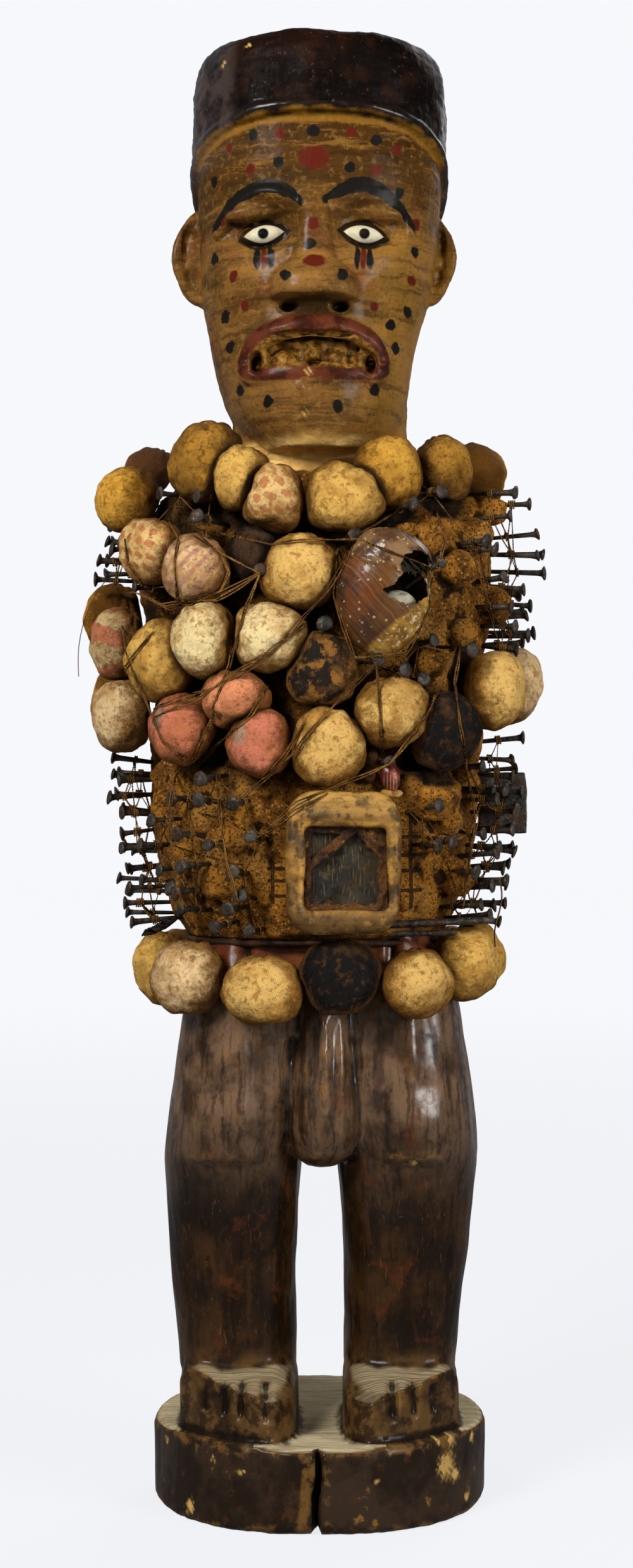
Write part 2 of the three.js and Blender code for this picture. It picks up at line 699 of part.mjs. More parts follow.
// Each lashing is a chain of nails in the order in which its twine runs
const lashings = {
  nails_chest: [
    [-54, 672, 26], [-40, 672, 28], [13, 653, 30], [35, 671, 26], [47, 676, 26],
  ],
  nails_left_shoulder: [
    [-80, 668, 28], [-76, 654, 27], [-82, 643, 28], [-86, 632, 29],
  ],
  nails_right_shoulder: [
    [74, 690, 34, 0.5], [86, 684, 34, 0.4], [88, 662, 30], [60, 650, 26], [92, 640, 30],
    [88, 618, 30], [92, 598, 32], [74, 587, 27],
  ],
  nails_left_flank: [
    [-84, 508, 26], [-82, 486, 27], [-84, 462, 29], [-80, 438, 31], [-84, 412, 32],
    [-104, 418, 32], [-100, 446, 29], [-104, 474, 28], [-100, 500, 26],
  ],
  nails_right_flank: [
    [40, 476, 24], [41, 453, 24], [58, 462, 24], [64, 488, 24], [70, 452, 26], [68, 422, 30],
    [86, 412, 32], [86, 436, 30], [97, 464, 28], [98, 490, 28], [98, 512, 27],
  ],
  nails_belly_left: [
    [-26, 482, 24], [-20, 457, 24], [-36, 456, 24], [-54, 470, 26], [-44, 440, 26], [-28, 434, 24],
    [-30, 412, 24], [-48, 424, 26],
  ],
  nails_back: [
    [150, 640, 26], [172, 610, 26], [202, 630, 26], [216, 570, 26], [182, 540, 26],
  ],
};

function lashing(nails) {
  return joined([strand(strandPoints(nails)), ...nails.map(nail)]).subtract(crustLumps(3 * GAP));
}

const rods = [
  { name: 'iron_rod_long', from: [46, -75.5, 400], to: [116, -60, 402], radius: 2.5 },
  { name: 'iron_rod_short', from: [40, -71.2, 393.5], to: [90, -70, 394], radius: 2 },
].map((bar) => ({
  ...bar,
  from: new THREE.Vector3(...bar.from),
  to: new THREE.Vector3(...bar.to),
}));

const closest = (from, to, point, keep) => (
  { point: new THREE.Line3(from, to).closestPointToPoint(point, true, new THREE.Vector3()), keep }
);

// The nearest places of nails and twine to a point, and how far cloth stays from each
function ironAndTwineNear(point) {
  const near = [];
  for (const nails of Object.values(lashings)) {
    for (const stop of nails) {
      const { root, way } = nailLine(stop);
      near.push(closest(root, root.clone().addScaledVector(way, stop[2]), point, NAIL.head));
    }
    const stops = strandPoints(nails);
    for (let i = 1; i < stops.length; i += 1) {
      near.push(closest(stops[i - 1], stops[i], point, TWINE));
    }
  }
  near.push(...rods.map(({ from, to, radius }) => closest(from, to, point, radius)));
  return near
    .filter((spotNear) => spotNear.point.distanceTo(point) < 40)
    .map((spotNear) => ({ point: spotNear.point, keep: spotNear.keep + GAP }));
}

// Iron plate, the two rods behind the box's lower corner, and the tuft of fibre
function ironPlate() {
  return block([CRUST.centreX + 130, -4, 480], [33, 3, 42], [0.05, 0, -0.05]);
}

function rod(from, to, radius) {
  const way = new THREE.Vector3().subVectors(to, from);
  const geometry = new THREE.CylinderGeometry(radius, radius, way.length(), 7);
  geometry.translate(0, way.length() / 2, 0);
  const along = new THREE.Vector3(0, 1, 0);
  geometry.applyQuaternion(new THREE.Quaternion().setFromUnitVectors(along, way.normalize()));
  geometry.translate(from.x, from.y, from.z);
  return geometry;
}

function fibreTuft() {
  const tuft = loft([
    { z: 0, wide: 3, front: 3, back: 3 },
    { z: 10, wide: 9, front: 6, back: 6 },
    { z: 24, wide: 8, front: 6, back: 6 },
    { z: 36, wide: 4, front: 3, back: 3 },
  ], 7);
  tuft.rotateY(1);
  tuft.translate(-117, -64, 392);
  return tuft;
}

place('carved_figure', surface(carvedFigure()), wood);
place('torso_crust', surface(crust()), earth);
place('belly_box', surface(bellyBox()), boxWood);
place('belly_box_resin', surface(boxResin()), resin);
place('belly_box_pane', surface(boxPane()), pane);
place('waist_hoop', surface(waistHoop()), boxWood);
place('snail_shell', surface(snailShell()), shellBrown);
place('iron_plate', ironPlate(), iron);
for (const { name, from, to, radius } of rods) {
  place(name, rod(from, to, radius), iron);
}
place('fibre_tuft', fibreTuft(), fibre);
for (const [name, nails] of Object.entries(lashings)) {
  place(name, surface(lashing(nails)), iron);
}

collarBundles();
chestBundles();
waistBundles();
for (const own of bundles) {
  place(own.name, bundleShape(own), cloths[own.cloth]);
}

export default figure;
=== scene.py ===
import json
import math
import random

import bmesh
import bpy
import numpy as np
from mathutils import Matrix, Vector, noise
from mathutils.bvhtree import BVHTree


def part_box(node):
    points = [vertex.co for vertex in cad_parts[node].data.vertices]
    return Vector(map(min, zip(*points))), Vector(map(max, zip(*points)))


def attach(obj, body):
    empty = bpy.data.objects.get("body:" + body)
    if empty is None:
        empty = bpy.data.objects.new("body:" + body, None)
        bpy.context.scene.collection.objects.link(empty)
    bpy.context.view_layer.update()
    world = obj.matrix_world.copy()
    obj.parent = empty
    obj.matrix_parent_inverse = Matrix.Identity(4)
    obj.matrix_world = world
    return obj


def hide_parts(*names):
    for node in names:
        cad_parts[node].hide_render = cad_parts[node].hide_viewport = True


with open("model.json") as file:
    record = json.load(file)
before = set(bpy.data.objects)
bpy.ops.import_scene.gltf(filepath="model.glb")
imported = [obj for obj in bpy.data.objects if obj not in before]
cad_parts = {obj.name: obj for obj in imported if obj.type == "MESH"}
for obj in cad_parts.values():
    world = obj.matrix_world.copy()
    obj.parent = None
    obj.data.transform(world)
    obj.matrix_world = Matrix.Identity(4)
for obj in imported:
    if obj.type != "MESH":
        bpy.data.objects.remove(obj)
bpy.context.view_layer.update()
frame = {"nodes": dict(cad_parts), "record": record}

# The camera stands level in front of the figure, at the height of its middle.
camera_data = bpy.data.cameras.new("camera")
camera_data.sensor_fit = "VERTICAL"
camera_data.sensor_height = 36
camera_data.lens = 61.5
camera = bpy.data.objects.new("camera", camera_data)
camera.location = (-0.0022, -1.85, 0.493)
camera.rotation_euler = (math.radians(90), 0, 0)
bpy.context.collection.objects.link(camera)
bpy.context.scene.camera = camera


# Soft studio light: a large lamp high on the left, a weaker one on the right, a faint one
# behind, and a pale room all round.
def lamp(name, place, size, power, warmth=(1.0, 1.0, 1.0)):
    data = bpy.data.lights.new(name, "AREA")
    data.size = size
    data.energy = power
    data.color = warmth
    lamp_object = bpy.data.objects.new(name, data)
    lamp_object.location = place
    aim = Vector((0, 0, 0.5)) - Vector(place)
    lamp_object.rotation_euler = aim.to_track_quat("-Z", "Y").to_euler()
    bpy.context.collection.objects.link(lamp_object)


lamp("key_light", (-1.35, -2.0, 1.9), 0.8, 75, (1.0, 0.985, 0.95))
lamp("fill_light", (1.9, -1.7, 1.0), 0.9, 41)
lamp("back_light", (0.9, 1.7, 1.9), 1.2, 14)

bpy.context.scene.view_settings.view_transform = "Standard"


# The backdrop is a wide floor of pale paper in a pale room. Its section also holds the steps
# that every finish below is mixed with.
def wire(socket, value):
    """Links a varying value to a socket, or sets a plain one on it."""
    if isinstance(value, Value):
        socket.id_data.links.new(value.socket, socket)
    else:
        socket.default_value = value


def node(tree, kind, inputs=None, output=0, **settings):
    made = tree.nodes.new(kind)
    for key, value in settings.items():
        setattr(made, key, value)
    for key, value in (inputs or {}).items():
        wire(made.inputs[key], value)
    return Value(made.outputs[output])


class Value:
    """What a socket gives. Arithmetic on it makes the nodes that work it out."""

    def __init__(self, socket):
        self.socket = socket

    def math(self, operation, *others):
        inputs = dict(enumerate((self, *others)))
        return node(self.socket.id_data, "ShaderNodeMath", inputs, operation=operation)

    def __add__(self, other):
        return self.math("ADD", other)

    def __sub__(self, other):
        return self.math("SUBTRACT", other)

    def __rsub__(self, other):
        return self * -1.0 + other

    def __mul__(self, other):
        return self.math("MULTIPLY", other)

    def __truediv__(self, other):
        return self.math("DIVIDE", other)

    def __abs__(self):
        return self.math("ABSOLUTE")

    def eased(self, low, high):
        """0 at low and 1 at high, with a soft passage between."""
        inputs = {"Value": self, "From Min": low, "From Max": high}
        return node(self.socket.id_data, "ShaderNodeMapRange", inputs, interpolation_type="SMOOTHSTEP")


def tree_of(values):
    return next(value.socket.id_data for value in values if isinstance(value, Value))


def blend(share, first, second):
    """Mixes two colours, given as hex codes or as what other mixes give."""
    made = tree_of((share, first, second)).nodes.new("ShaderNodeMix")
    made.data_type = "RGBA"
    wire(made.inputs[0], share)
    for socket, tone in ((made.inputs[6], first), (made.inputs[7], second)):
        if isinstance(tone, str):
            parts = [int(tone[i:i + 2], 16) / 255 for i in (0, 2, 4)]
            tone = (*[p / 12.92 if p <= 0.04045 else ((p + 0.055) / 1.055) ** 2.4 for p in parts], 1)
        wire(socket, tone)
    return Value(made.outputs[2])


def coated(under, *coats):
    """Lays coats over a colour, each a mask and a tone."""
    for mask, tone in coats:
        under = blend(mask, under, tone)
    return under


def vectors(operation, first, second=(0, 0, 0), output=0):
    tree = tree_of((first, second))
    return node(tree, "ShaderNodeVectorMath", {0: first, 1: second}, output, operation=operation)


def axes(vector):
    split = vector.socket.id_data.nodes.new("ShaderNodeSeparateXYZ")
    wire(split.inputs[0], vector)
    return [Value(output) for output in split.outputs]


def grain(vector, scale, detail=3.0, rough=0.6, output="Fac"):
    inputs = {"Vector": vector, "Scale": scale, "Detail": detail, "Roughness": rough}
    return node(tree_of((vector, scale)), "ShaderNodeTexNoise", inputs, output)


def shader_group(name, usual, outputs):
    """A node group, with the usual value of each input, and outputs that are plain numbers."""
    tree = bpy.data.node_groups.new(name, "ShaderNodeTree")
    for label, value in usual.items():
        kind = "NodeSocketVector" if isinstance(value, tuple) else "NodeSocketFloat"
        tree.interface.new_socket(label, in_out="INPUT", socket_type=kind).default_value = value
    for label in outputs:
        tree.interface.new_socket(label, in_out="OUTPUT", socket_type="NodeSocketFloat")
    given = {socket.name: Value(socket) for socket in tree.nodes.new("NodeGroupInput").outputs}
    return tree, given, tree.nodes.new("NodeGroupOutput").inputs


def placed(group, inputs):
    made = tree_of(inputs.values()).nodes.new("ShaderNodeGroup")
    made.node_tree = group
    for key, value in inputs.items():
        wire(made.inputs[key], value)
    return {socket.name: Value(socket) for socket in made.outputs}


mottle_tree, given, result = shader_group(
    "mottle", {"Vector": (0, 0, 0), "Scale": 40.0, "Low": 0.4, "High": 0.6}, ["Mask"],
)
wire(result["Mask"], grain(given["Vector"], given["Scale"], 5.0).eased(given["Low"], given["High"]))


def mottle(vector, scale, low, high):
    """Soft patches; the scale is in patches per metre."""
    return placed(mottle_tree, {"Vector": vector, "Scale": scale, "Low": low, "High": high})["Mask"]


def material(name, roughness=0.5, metallic=0.0, specular=0.5):
    made = bpy.data.materials.new(name)
    made.use_nodes = True
    surface = made.node_tree.nodes["Principled BSDF"].inputs
    surface["Roughness"].default_value = roughness
    surface["Metallic"].default_value = metallic
    surface["Specular IOR Level"].default_value = specular
    return made, surface, node(made.node_tree, "ShaderNodeTexCoord", output="Object")


def relief(surface, height, strength, distance=0.001, under=None):
    inputs = {"Height": height, "Strength": strength, "Distance": distance}
    if under is not None:
        inputs["Normal"] = under
    bump = node(height.socket.id_data, "ShaderNodeBump", inputs)
    wire(surface["Normal"], bump)
    return bump


ROUND = {"offset_type": "OFFSET", "profile": 0.5, "affect": "EDGES", "material": -1}
PALE = (0.80, 0.81, 0.84, 1)
world = bpy.data.worlds.new("pale_room")
world.use_nodes = True
room = world.node_tree.nodes["Background"].inputs
room["Color"].default_value = PALE
wire(room["Strength"], node(world.node_tree, "ShaderNodeLightPath", output="Is Camera Ray") * 0.96 + 0.2)
bpy.context.scene.world = world

floor_mesh = bmesh.new()
bmesh.ops.create_circle(floor_mesh, cap_ends=True, segments=64, radius=12)
floor_data = bpy.data.meshes.new("floor")
floor_mesh.to_mesh(floor_data)
floor_mesh.free()
floor = bpy.data.objects.new("floor", floor_data)
bpy.context.collection.objects.link(floor)
paper, surface, place = material("backdrop_paper", 0.9)
surface["Base Color"].default_value = (0.08, 0.08, 0.082, 1)
surface["Emission Color"].default_value = PALE
seen = node(place.socket.id_data, "ShaderNodeLightPath", output="Is Camera Ray")
far = vectors("LENGTH", place, output="Value").eased(0.8, 4.5)
wire(surface["Emission Strength"], seen * (far * 0.13 + 0.73) + 0.26)
floor_data.materials.append(paper)


# Two loose ends of thread hang free from the nails: one at the figure's left flank, and one
# wisp of fibre at its right shoulder.
THREAD = {
    "flank_thread": {
        "path": [(0.1215, -0.040, 0.428), (0.1235, -0.043, 0.420), (0.1222, -0.044, 0.410),
                 (0.1190, -0.043, 0.400), (0.1172, -0.042, 0.391), (0.1186, -0.041, 0.383)],
        "thick": 0.0011,
    },
    "shoulder_wisp": {
        "path": [(-0.1455, -0.024, 0.632), (-0.1520, -0.026, 0.624), (-0.1580, -0.027, 0.612),
                 (-0.1625, -0.028, 0.597), (-0.1650, -0.028, 0.581), (-0.1640, -0.027, 0.566)],
        "thick": 0.0006,
    },
}
thread_look, surface, place = material("loose_thread", 0.85)
wire(surface["Base Color"], blend(mottle(place, 200.0, 0.35, 0.65), "2c1a0c", "6a4420"))
relief(surface, mottle(place, 1500.0, 0.3, 0.7), 0.5, 0.0003)
for name, thread in THREAD.items():
    data = bpy.data.curves.new(name, "CURVE")
    data.dimensions = "3D"
    data.bevel_depth = thread["thick"] / 2
    data.bevel_resolution = 2
    data.resolution_u = 6
    data.use_fill_caps = True
    line = data.splines.new("NURBS")
    line.points.add(len(thread["path"]) - 1)
    for point, at in zip(line.points, thread["path"]):
        point.co = (*at, 1)
    line.use_endpoint_u = True
    line.order_u = 4
    data.materials.append(thread_look)
    piece = bpy.data.objects.new(name, data)
    bpy.context.collection.objects.link(piece)
    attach(piece, "root")


# The carved figure is one block of hard wood: base, feet, legs, torso, neck, head and cap.
# It is hewn with an adze, smoothed with a knife, varnished dark, and painted on the face.
MM = 0.001
HEAD_GRAIN = 1.35 * MM
BODY_GRAIN = 2.4 * MM
FIGURE_FACES = 175000
CAP_RIM = 902
CAP_SLOPE = 0.40
FACE_X = -4
BASE = {"radius": 115, "height": 57, "y": 17}
FOOT = {"x": 55, "wide": 39, "toe": -90, "heel": 56}
EYE = {"x": 33, "z": 858}
MOUTH = {"z": 779, "half": 46}
TEETH = [(-19.5, 772, 8.5, 7.5), (16, 772, 7, 7), (-1, 775, 6, 6), (31, 773, 5, 7), (-33, 773, 4.5, 7)]
MOUTH_HOLES = [(37.5, 771, 4.8, 7.5, 9), (2, 770.5, 3.2, 3.2, 5), (12, 788.5, 16, 2.6, 5)]
NOSTRILS = [(17, 808, 6.0, 4.4, 9)]


def reach_of(angle, wide, depth, square):
    across = abs(math.cos(angle) / wide) ** square
    along = abs(math.sin(angle) / depth) ** square
    return (across + along) ** (-1 / square)


def ring(bm, section, sides):
    z, x, y, wide, front, back, square = section
    made = bmesh.ops.create_circle(bm, segments=sides, radius=1)["verts"]
    for vert in made:
        angle = math.atan2(vert.co.y, vert.co.x)
        reach = reach_of(angle, wide, front if angle < 0 else back, square)
        vert.co = Vector((x + reach * math.cos(angle), y + reach * math.sin(angle), z)) * MM
    return list({edge for vert in made for edge in vert.link_edges})


def loft(bm, keys, sides=40):
    """Bridges rounded sections, each (z, x, y, half width, depth in front, behind, squareness)."""
    rings = [ring(bm, key, sides) for key in keys]
    for low, high in zip(rings, rings[1:]):
        bmesh.ops.bridge_loops(bm, edges=low + high)
    for end in (rings[0], rings[-1]):
        bmesh.ops.contextual_create(bm, geom=end)


def eased(keys, rows, blur):
    """More sections between the keys, with the corners between them rounded."""
    keys = np.array(keys, dtype=float)
    heights = np.linspace(keys[0, 0], keys[-1, 0], rows)
    table = np.stack([np.interp(heights, keys[:, 0], keys[:, i]) for i in range(1, 7)], axis=1)
    weights = np.exp(-np.linspace(-2, 2, 2 * blur + 1) ** 2)
    padded = np.pad(table, ((blur, blur), (0, 0)), mode="edge")
    smooth = [np.convolve(padded[:, i], weights / weights.sum(), mode="valid") for i in range(6)]
    return [tuple(row) for row in np.column_stack([heights, *smooth])]


def lump(bm, centre, half, turn=(0, 0, 0)):
    spin = Matrix.Rotation(turn[2], 4, "Z") @ Matrix.Rotation(turn[1], 4, "Y")
    spin = spin @ Matrix.Rotation(turn[0], 4, "X")
    size = Matrix.Diagonal((half[0] * MM, half[1] * MM, half[2] * MM, 1))
    place = Matrix.Translation(Vector(centre) * MM) @ spin @ size
    bmesh.ops.create_uvsphere(bm, u_segments=24, v_segments=16, radius=1, matrix=place)


def roll(bm, points, closed=False, sides=12):
    """A rounded roll along points, each (x, y, z, half size sideways, half size upright)."""
    rings = []
    count = len(points)
    for i in range(count):
        before = Vector(points[(i - 1) % count if closed else max(i - 1, 0)][:3])
        after = Vector(points[(i + 1) % count if closed else min(i + 1, count - 1)][:3])
        turn = (after - before).to_track_quat("Z", "Y").to_matrix().to_4x4()
        size = Matrix.Diagonal((points[i][3] * MM, points[i][4] * MM, 1, 1))
        place = Matrix.Translation(Vector(points[i][:3]) * MM) @ turn @ size
        made = bmesh.ops.create_circle(bm, segments=sides, radius=1, matrix=place)["verts"]
        rings.append(list({edge for vert in made for edge in vert.link_edges}))
    for low, high in zip(rings, rings[1:] + (rings[:1] if closed else [])):
        bmesh.ops.bridge_loops(bm, edges=low + high)
    if not closed:
        for end in (rings[0], rings[-1]):
            bmesh.ops.contextual_create(bm, geom=end)


def reworked(name, data, grain_size=None, rounds=0, faces=1.0, levels=0, wall=0, cutter=None):
    """The mesh rounded, walled, cut, recast in an even grain, smoothed and thinned as asked."""
    holder, tool = (bpy.data.objects.new(name, mesh) for mesh in (data, cutter or data))
    for each in (holder, tool):
        bpy.context.collection.objects.link(each)
    if levels:
        rounder = holder.modifiers.new("rounding", "SUBSURF")
        rounder.levels = rounder.render_levels = levels
    if wall:
        inner = holder.modifiers.new("wall", "SOLIDIFY")
        inner.thickness = wall
        inner.offset = -1
    if cutter:
        holder.modifiers.new("cut", "BOOLEAN").object = tool
    if grain_size:
        recast = holder.modifiers.new("recast", "REMESH")
        recast.mode = "VOXEL"
        recast.voxel_size = grain_size
    if rounds:
        smoother = holder.modifiers.new("smooth", "SMOOTH")
        smoother.factor = 0.5
        smoother.iterations = rounds
    if faces < 1:
        holder.modifiers.new("thin", "DECIMATE").ratio = faces
    depsgraph = bpy.context.evaluated_depsgraph_get()
    finished = bpy.data.meshes.new_from_object(holder.evaluated_get(depsgraph))
    for each in (holder, tool):
        bpy.data.objects.remove(each)
    finished.name = name
    return finished


def settled(name, bm, grain_size=None, rounds=0, levels=0):
    bmesh.ops.recalc_face_normals(bm, faces=bm.faces)
    data = bpy.data.meshes.new(name)
    bm.to_mesh(data)
    bm.free()
    return reworked(name, data, grain_size, rounds, levels=levels)


def points_of(data):
    """Places in millimetres and normals of a mesh's vertices, as rows."""
    places = np.empty(len(data.vertices) * 3)
    data.vertices.foreach_get("co", places)
    normals = np.empty(len(data.vertices) * 3)
    data.vertices.foreach_get("normal", normals)
    return places.reshape(-1, 3) / MM, normals.reshape(-1, 3)


def move_points(data, places):
    data.vertices.foreach_set("co", (places * MM).ravel())
    data.update()


def clouds(places, scale, octaves=4, seed=0.0):
    """Smooth noise at each place, about -1 to 1; the scale is the size of its lumps in mm."""
    shift = Vector((seed, seed * 0.7, -seed))
    return np.array([
        noise.fractal(Vector(p) / scale + shift, 1.0, 2.0, octaves) for p in places.tolist()
    ])


def ease(value, low, high):
    share = np.clip((value - low) / (high - low), 0, 1)
    return share * share * (3 - 2 * share)


def near(value, far, close):
    """1 where the value is close to zero, 0 from far on."""
    return ease(-np.abs(value), -far, -close)


def note(data, name, values):
    layer = data.attributes.new(name, "FLOAT", "POINT")
    layer.data.foreach_set("value", np.asarray(values, dtype=np.float32))


def note_hollows(data):
    """Keeps how far each vertex lies under the mean of its neighbours, in mm, as "hollow"."""
    places, normals = points_of(data)
    edges = np.empty(len(data.edges) * 2, dtype=np.int32)
    data.edges.foreach_get("vertices", edges)
    first, second = edges.reshape(-1, 2).T
    level = places.copy()
    counts = np.bincount(edges, minlength=len(places))[:, None]
    for _ in range(6):
        level = np.stack([
            np.bincount(first, level[second, axis], len(level))
            + np.bincount(second, level[first, axis], len(level)) for axis in range(3)
        ], axis=1) / counts
    hollow = ((level - places) * normals).sum(axis=1)
    note(data, "hollow", hollow)
    return hollow


def noted(place, name):
    return node(place.socket.id_data, "ShaderNodeAttribute", output="Fac", attribute_name=name)


def show(name, data, slot, *finishes, stands_for=None):
    for finish in finishes:
        data.materials.append(finish)
    data.shade_smooth()
    made = bpy.data.objects.new(name, data)
    bpy.context.collection.objects.link(made)
    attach(made, "root")
    if stands_for:
        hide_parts(stands_for)
    return made


# Head: jaw, flat cheeks and brow, with the eyes and the mouth cut in before the nose, lips,
# brow ledges and ears are added
head_mesh = bmesh.new()
loft(head_mesh, eased([
    (717, 0, -20, 34, 54, 40, 2.2), (722, 0, -15, 44, 68, 46, 2.2), (730, 0, -8, 53, 80, 56, 2.2),
    (750, -3, 0, 62, 92, 70, 2.3), (790, -5, 0, 70, 90, 88, 2.4), (825, -3, 0, 78, 87, 95, 2.5),
    (862, 0, 0, 81, 85, 98, 2.5), (905, 0, 0, 84, 86, 99, 2.5), (950, 0, 0, 82, 83, 96, 2.5),
], 60, 4), 64)
loft(head_mesh, [
    (690, 0, 0, 62, 51, 58, 2.1), (728, 0, 0, 60, 51, 60, 2), (775, 0, 0, 60, 50, 66, 2),
], 48)
head_data = settled("head", head_mesh, HEAD_GRAIN * 1.2)
places, normals = points_of(head_data)
x, y, z = places.T.copy()
off = x - FACE_X
side = np.abs(off)
facing = ease(-y, 20, 50)
gape = (side / 42) ** 3 + np.abs((z - MOUTH["z"] + 4 * (off / 42) ** 2) / 13) ** 2.2
places[:, 1] += facing * (
    7.5 * ease(-np.hypot((side - 36) / 27, (z - 861) / 17), -1.1, -0.6) * ease(side, 8, 15)
    + 2.5 * ease(-np.hypot((side - 38) / 30, (z - 868) / 7), -1, -0.4)
    + 3 * ease(-np.hypot((side - 50) / 20, (z - 812) / 22), -1, -0.3)
    + 12 * ease(-gape, -1.15, -0.7)
)
move_points(head_data, places)

head_mesh = bmesh.new()
head_mesh.from_mesh(head_data)
cap_mesh = bmesh.new()
loft(cap_mesh, eased([
    (850, 0, 0, 86, 88, 102, 2.4), (925, 0, 0, 87, 90, 102, 2.4), (968, 0, 0, 86, 89, 101, 2.4),
    (981, 0, 0, 83, 87, 98, 2.4), (988, 0, 0, 78, 83, 92, 2.4), (993, 0, 0, 69, 76, 82, 2.3),
    (995.5, 0, 0, 52, 64, 62, 2.2),
], 70, 1), 64)
bmesh.ops.bisect_plane(
    cap_mesh, geom=cap_mesh.verts[:] + cap_mesh.edges[:] + cap_mesh.faces[:],
    plane_co=(0, 0, CAP_RIM * MM), plane_no=(0, -CAP_SLOPE, -1), clear_outer=True,
)
bmesh.ops.contextual_create(cap_mesh, geom=[edge for edge in cap_mesh.edges if edge.is_boundary])
cap_data = bpy.data.meshes.new("cap")
cap_mesh.to_mesh(cap_data)
cap_mesh.free()
head_mesh.from_mesh(cap_data)
rim_points = []
for angle in np.linspace(0, 2 * math.pi, 90, endpoint=False):
    reach = reach_of(angle, 87, 90 if angle > math.pi else 102, 2.4) - 2.0
    rim_y = reach * math.sin(angle)
    rim_points.append((reach * math.cos(angle), rim_y, CAP_RIM + 3.5 - CAP_SLOPE * rim_y, 4.2, 4.4))
roll(head_mesh, rim_points, closed=True)

loft(head_mesh, eased([
    (797, FACE_X, -80, 21, 3, 8, 3.0), (811, FACE_X, -80, 26, 7, 8, 3.2),
    (812.5, FACE_X, -80, 29, 28, 8, 3.2), (816, FACE_X, -80, 29.5, 30, 8, 2.9),
    (826, FACE_X, -80, 28.5, 29, 8, 2.8), (833, FACE_X, -80, 22, 23, 8, 2.6),
    (840, FACE_X, -80, 13.5, 17, 8, 2.8), (866, FACE_X, -79, 10.5, 14, 8, 3.0),
    (884, FACE_X, -79, 12, 8, 8, 2.6),
], 88, 1), 40)
for hand in (-1, 1):
    roll(head_mesh, [
        (FACE_X + hand * (7 + 60 * t), -82 + 27 * t ** 2.4, 887 - 0.02 * (60 * t - 27) ** 2 - 5 * t,
         3 + 2 * math.sin(math.pi * min(t + 0.1, 1)), 5.5)
        for t in np.linspace(0, 1, 14)
    ])
    lump(head_mesh, (FACE_X + hand * 37, -70, 873), (23, 9, 7), (0, hand * 0.12, 0))
    lump(head_mesh, (FACE_X + hand * EYE["x"], -69, EYE["z"] - 1), (16.5, 12, 7.5), (0, hand * 0.12, 0))
    lump(head_mesh, (FACE_X + hand * 79, 8, 857), (17.5, 9.5, 33), (0, 0, hand * 0.25))
    roll(head_mesh, [
        (FACE_X + hand * (75 + 19.5 * math.sin(math.pi * t) ** 0.75), 5 - 3 * math.sin(math.pi * t),
         889 - 64 * t, 2.8, 4.2)
        for t in np.linspace(0, 1, 18)
    ])
lip_points = []
for turn in np.linspace(0, 2 * math.pi, 60, endpoint=False):
    across = MOUTH["half"] * math.copysign(abs(math.cos(turn)) ** 0.85, math.cos(turn))
    if math.sin(turn) >= 0:
        level = 770 + 24.5 * math.sin(turn) ** 1.05
        full = 3.4 + 4.0 * math.sin(turn)
    else:
        level = 770 - 8.5 * abs(math.sin(turn)) ** 0.5 + 2.5 * (1 - abs(math.cos(turn)))
        full = 3.0 + 1.4 * abs(math.sin(turn))
    lip_points.append((FACE_X + across, -88 + 14 * (across / MOUTH["half"]) ** 2, level, full, 7.2))
roll(head_mesh, lip_points, closed=True)
for tooth_x, tooth_z, wide, high in TEETH:
    lump(head_mesh, (FACE_X + tooth_x, -79 + 5 * (tooth_x / 40) ** 2, tooth_z), (wide, 6.5, high))
head_data = settled("head", head_mesh, HEAD_GRAIN, 2)

places, normals = points_of(head_data)
x, y, z = places.T.copy()
off = x - FACE_X
side = np.abs(off)
for hole_x, hole_z, wide, high, deep in MOUTH_HOLES + NOSTRILS:
    hole = np.hypot((side - hole_x) / wide, (z - hole_z) / high)
    places[:, 1] += deep * ease(-hole, -1.15, -0.5) * ease(-y, 50, 62) * ease(-normals[:, 1], 0.1, 0.5)
inner = (side / 40) ** 3 + np.abs((z - MOUTH["z"] + 4 * (off / 42) ** 2) / 12) ** 2.2
crumbling = ease(-inner, -1.0, -0.8) * ease(-y, 55, 65) * ease(y, -90, -84)
places[:, 1] += crumbling * 2.2 * clouds(places, 6, 4, 21.0)
crease = np.hypot((side - EYE["x"]) / 17, (z - EYE["z"]) / 8.2) - 1
places[:, 1] += 1.3 * near(crease, 0.14, 0) * ease(-y, 40, 60)
chin = near(off + 6, 9, 5) * ease(z, 738, 742) * ease(-z, -760, -754) * ease(-y, 50, 70)
places[:, 1] -= 2.2 * (0.5 + 0.5 * np.cos((off + 6) / 6.5 * math.pi)) * chin
ear = side
for hollow_x, hollow_z, wide, high, deep in ((86, 867, 6, 14, 2.6), (84, 843, 6, 9, 2.2)):
    concha = np.hypot((ear - hollow_x) / wide, (z - hollow_z) / high)
    places[:, 1] += deep * ease(-concha, -1, -0.55) * ease(-y, -8, 0)
above_rim = ease(z + CAP_SLOPE * y, CAP_RIM + 2, CAP_RIM + 8)
facets = clouds(places, 34, 2, 3.0)
knife = clouds(places * np.array([1, 1, 2.2]), 13, 3, 8.0)
places += normals * ((0.8 + 0.9 * above_rim) * facets + (0.35 + 0.4 * above_rim) * knife)[:, None]

# Chips that show bare wood: centre, radius and how deep the flat cut goes
HEAD_CHIPS = [
    ((-63, -66, 972), 2.6, 0.8), ((-47, -74, 982), 2.2, 0.8), ((74, -48, 950), 2.4, 0.8),
    ((78, -30, 962), 2.6, 0.8), ((-31, -104, 829), 5.0, 1.8), ((-8, -95, 764), 4.2, 1.6),
    ((-27, -93, 765), 2.2, 1.0), ((-11, -92, 736), 4.4, 1.8),
]


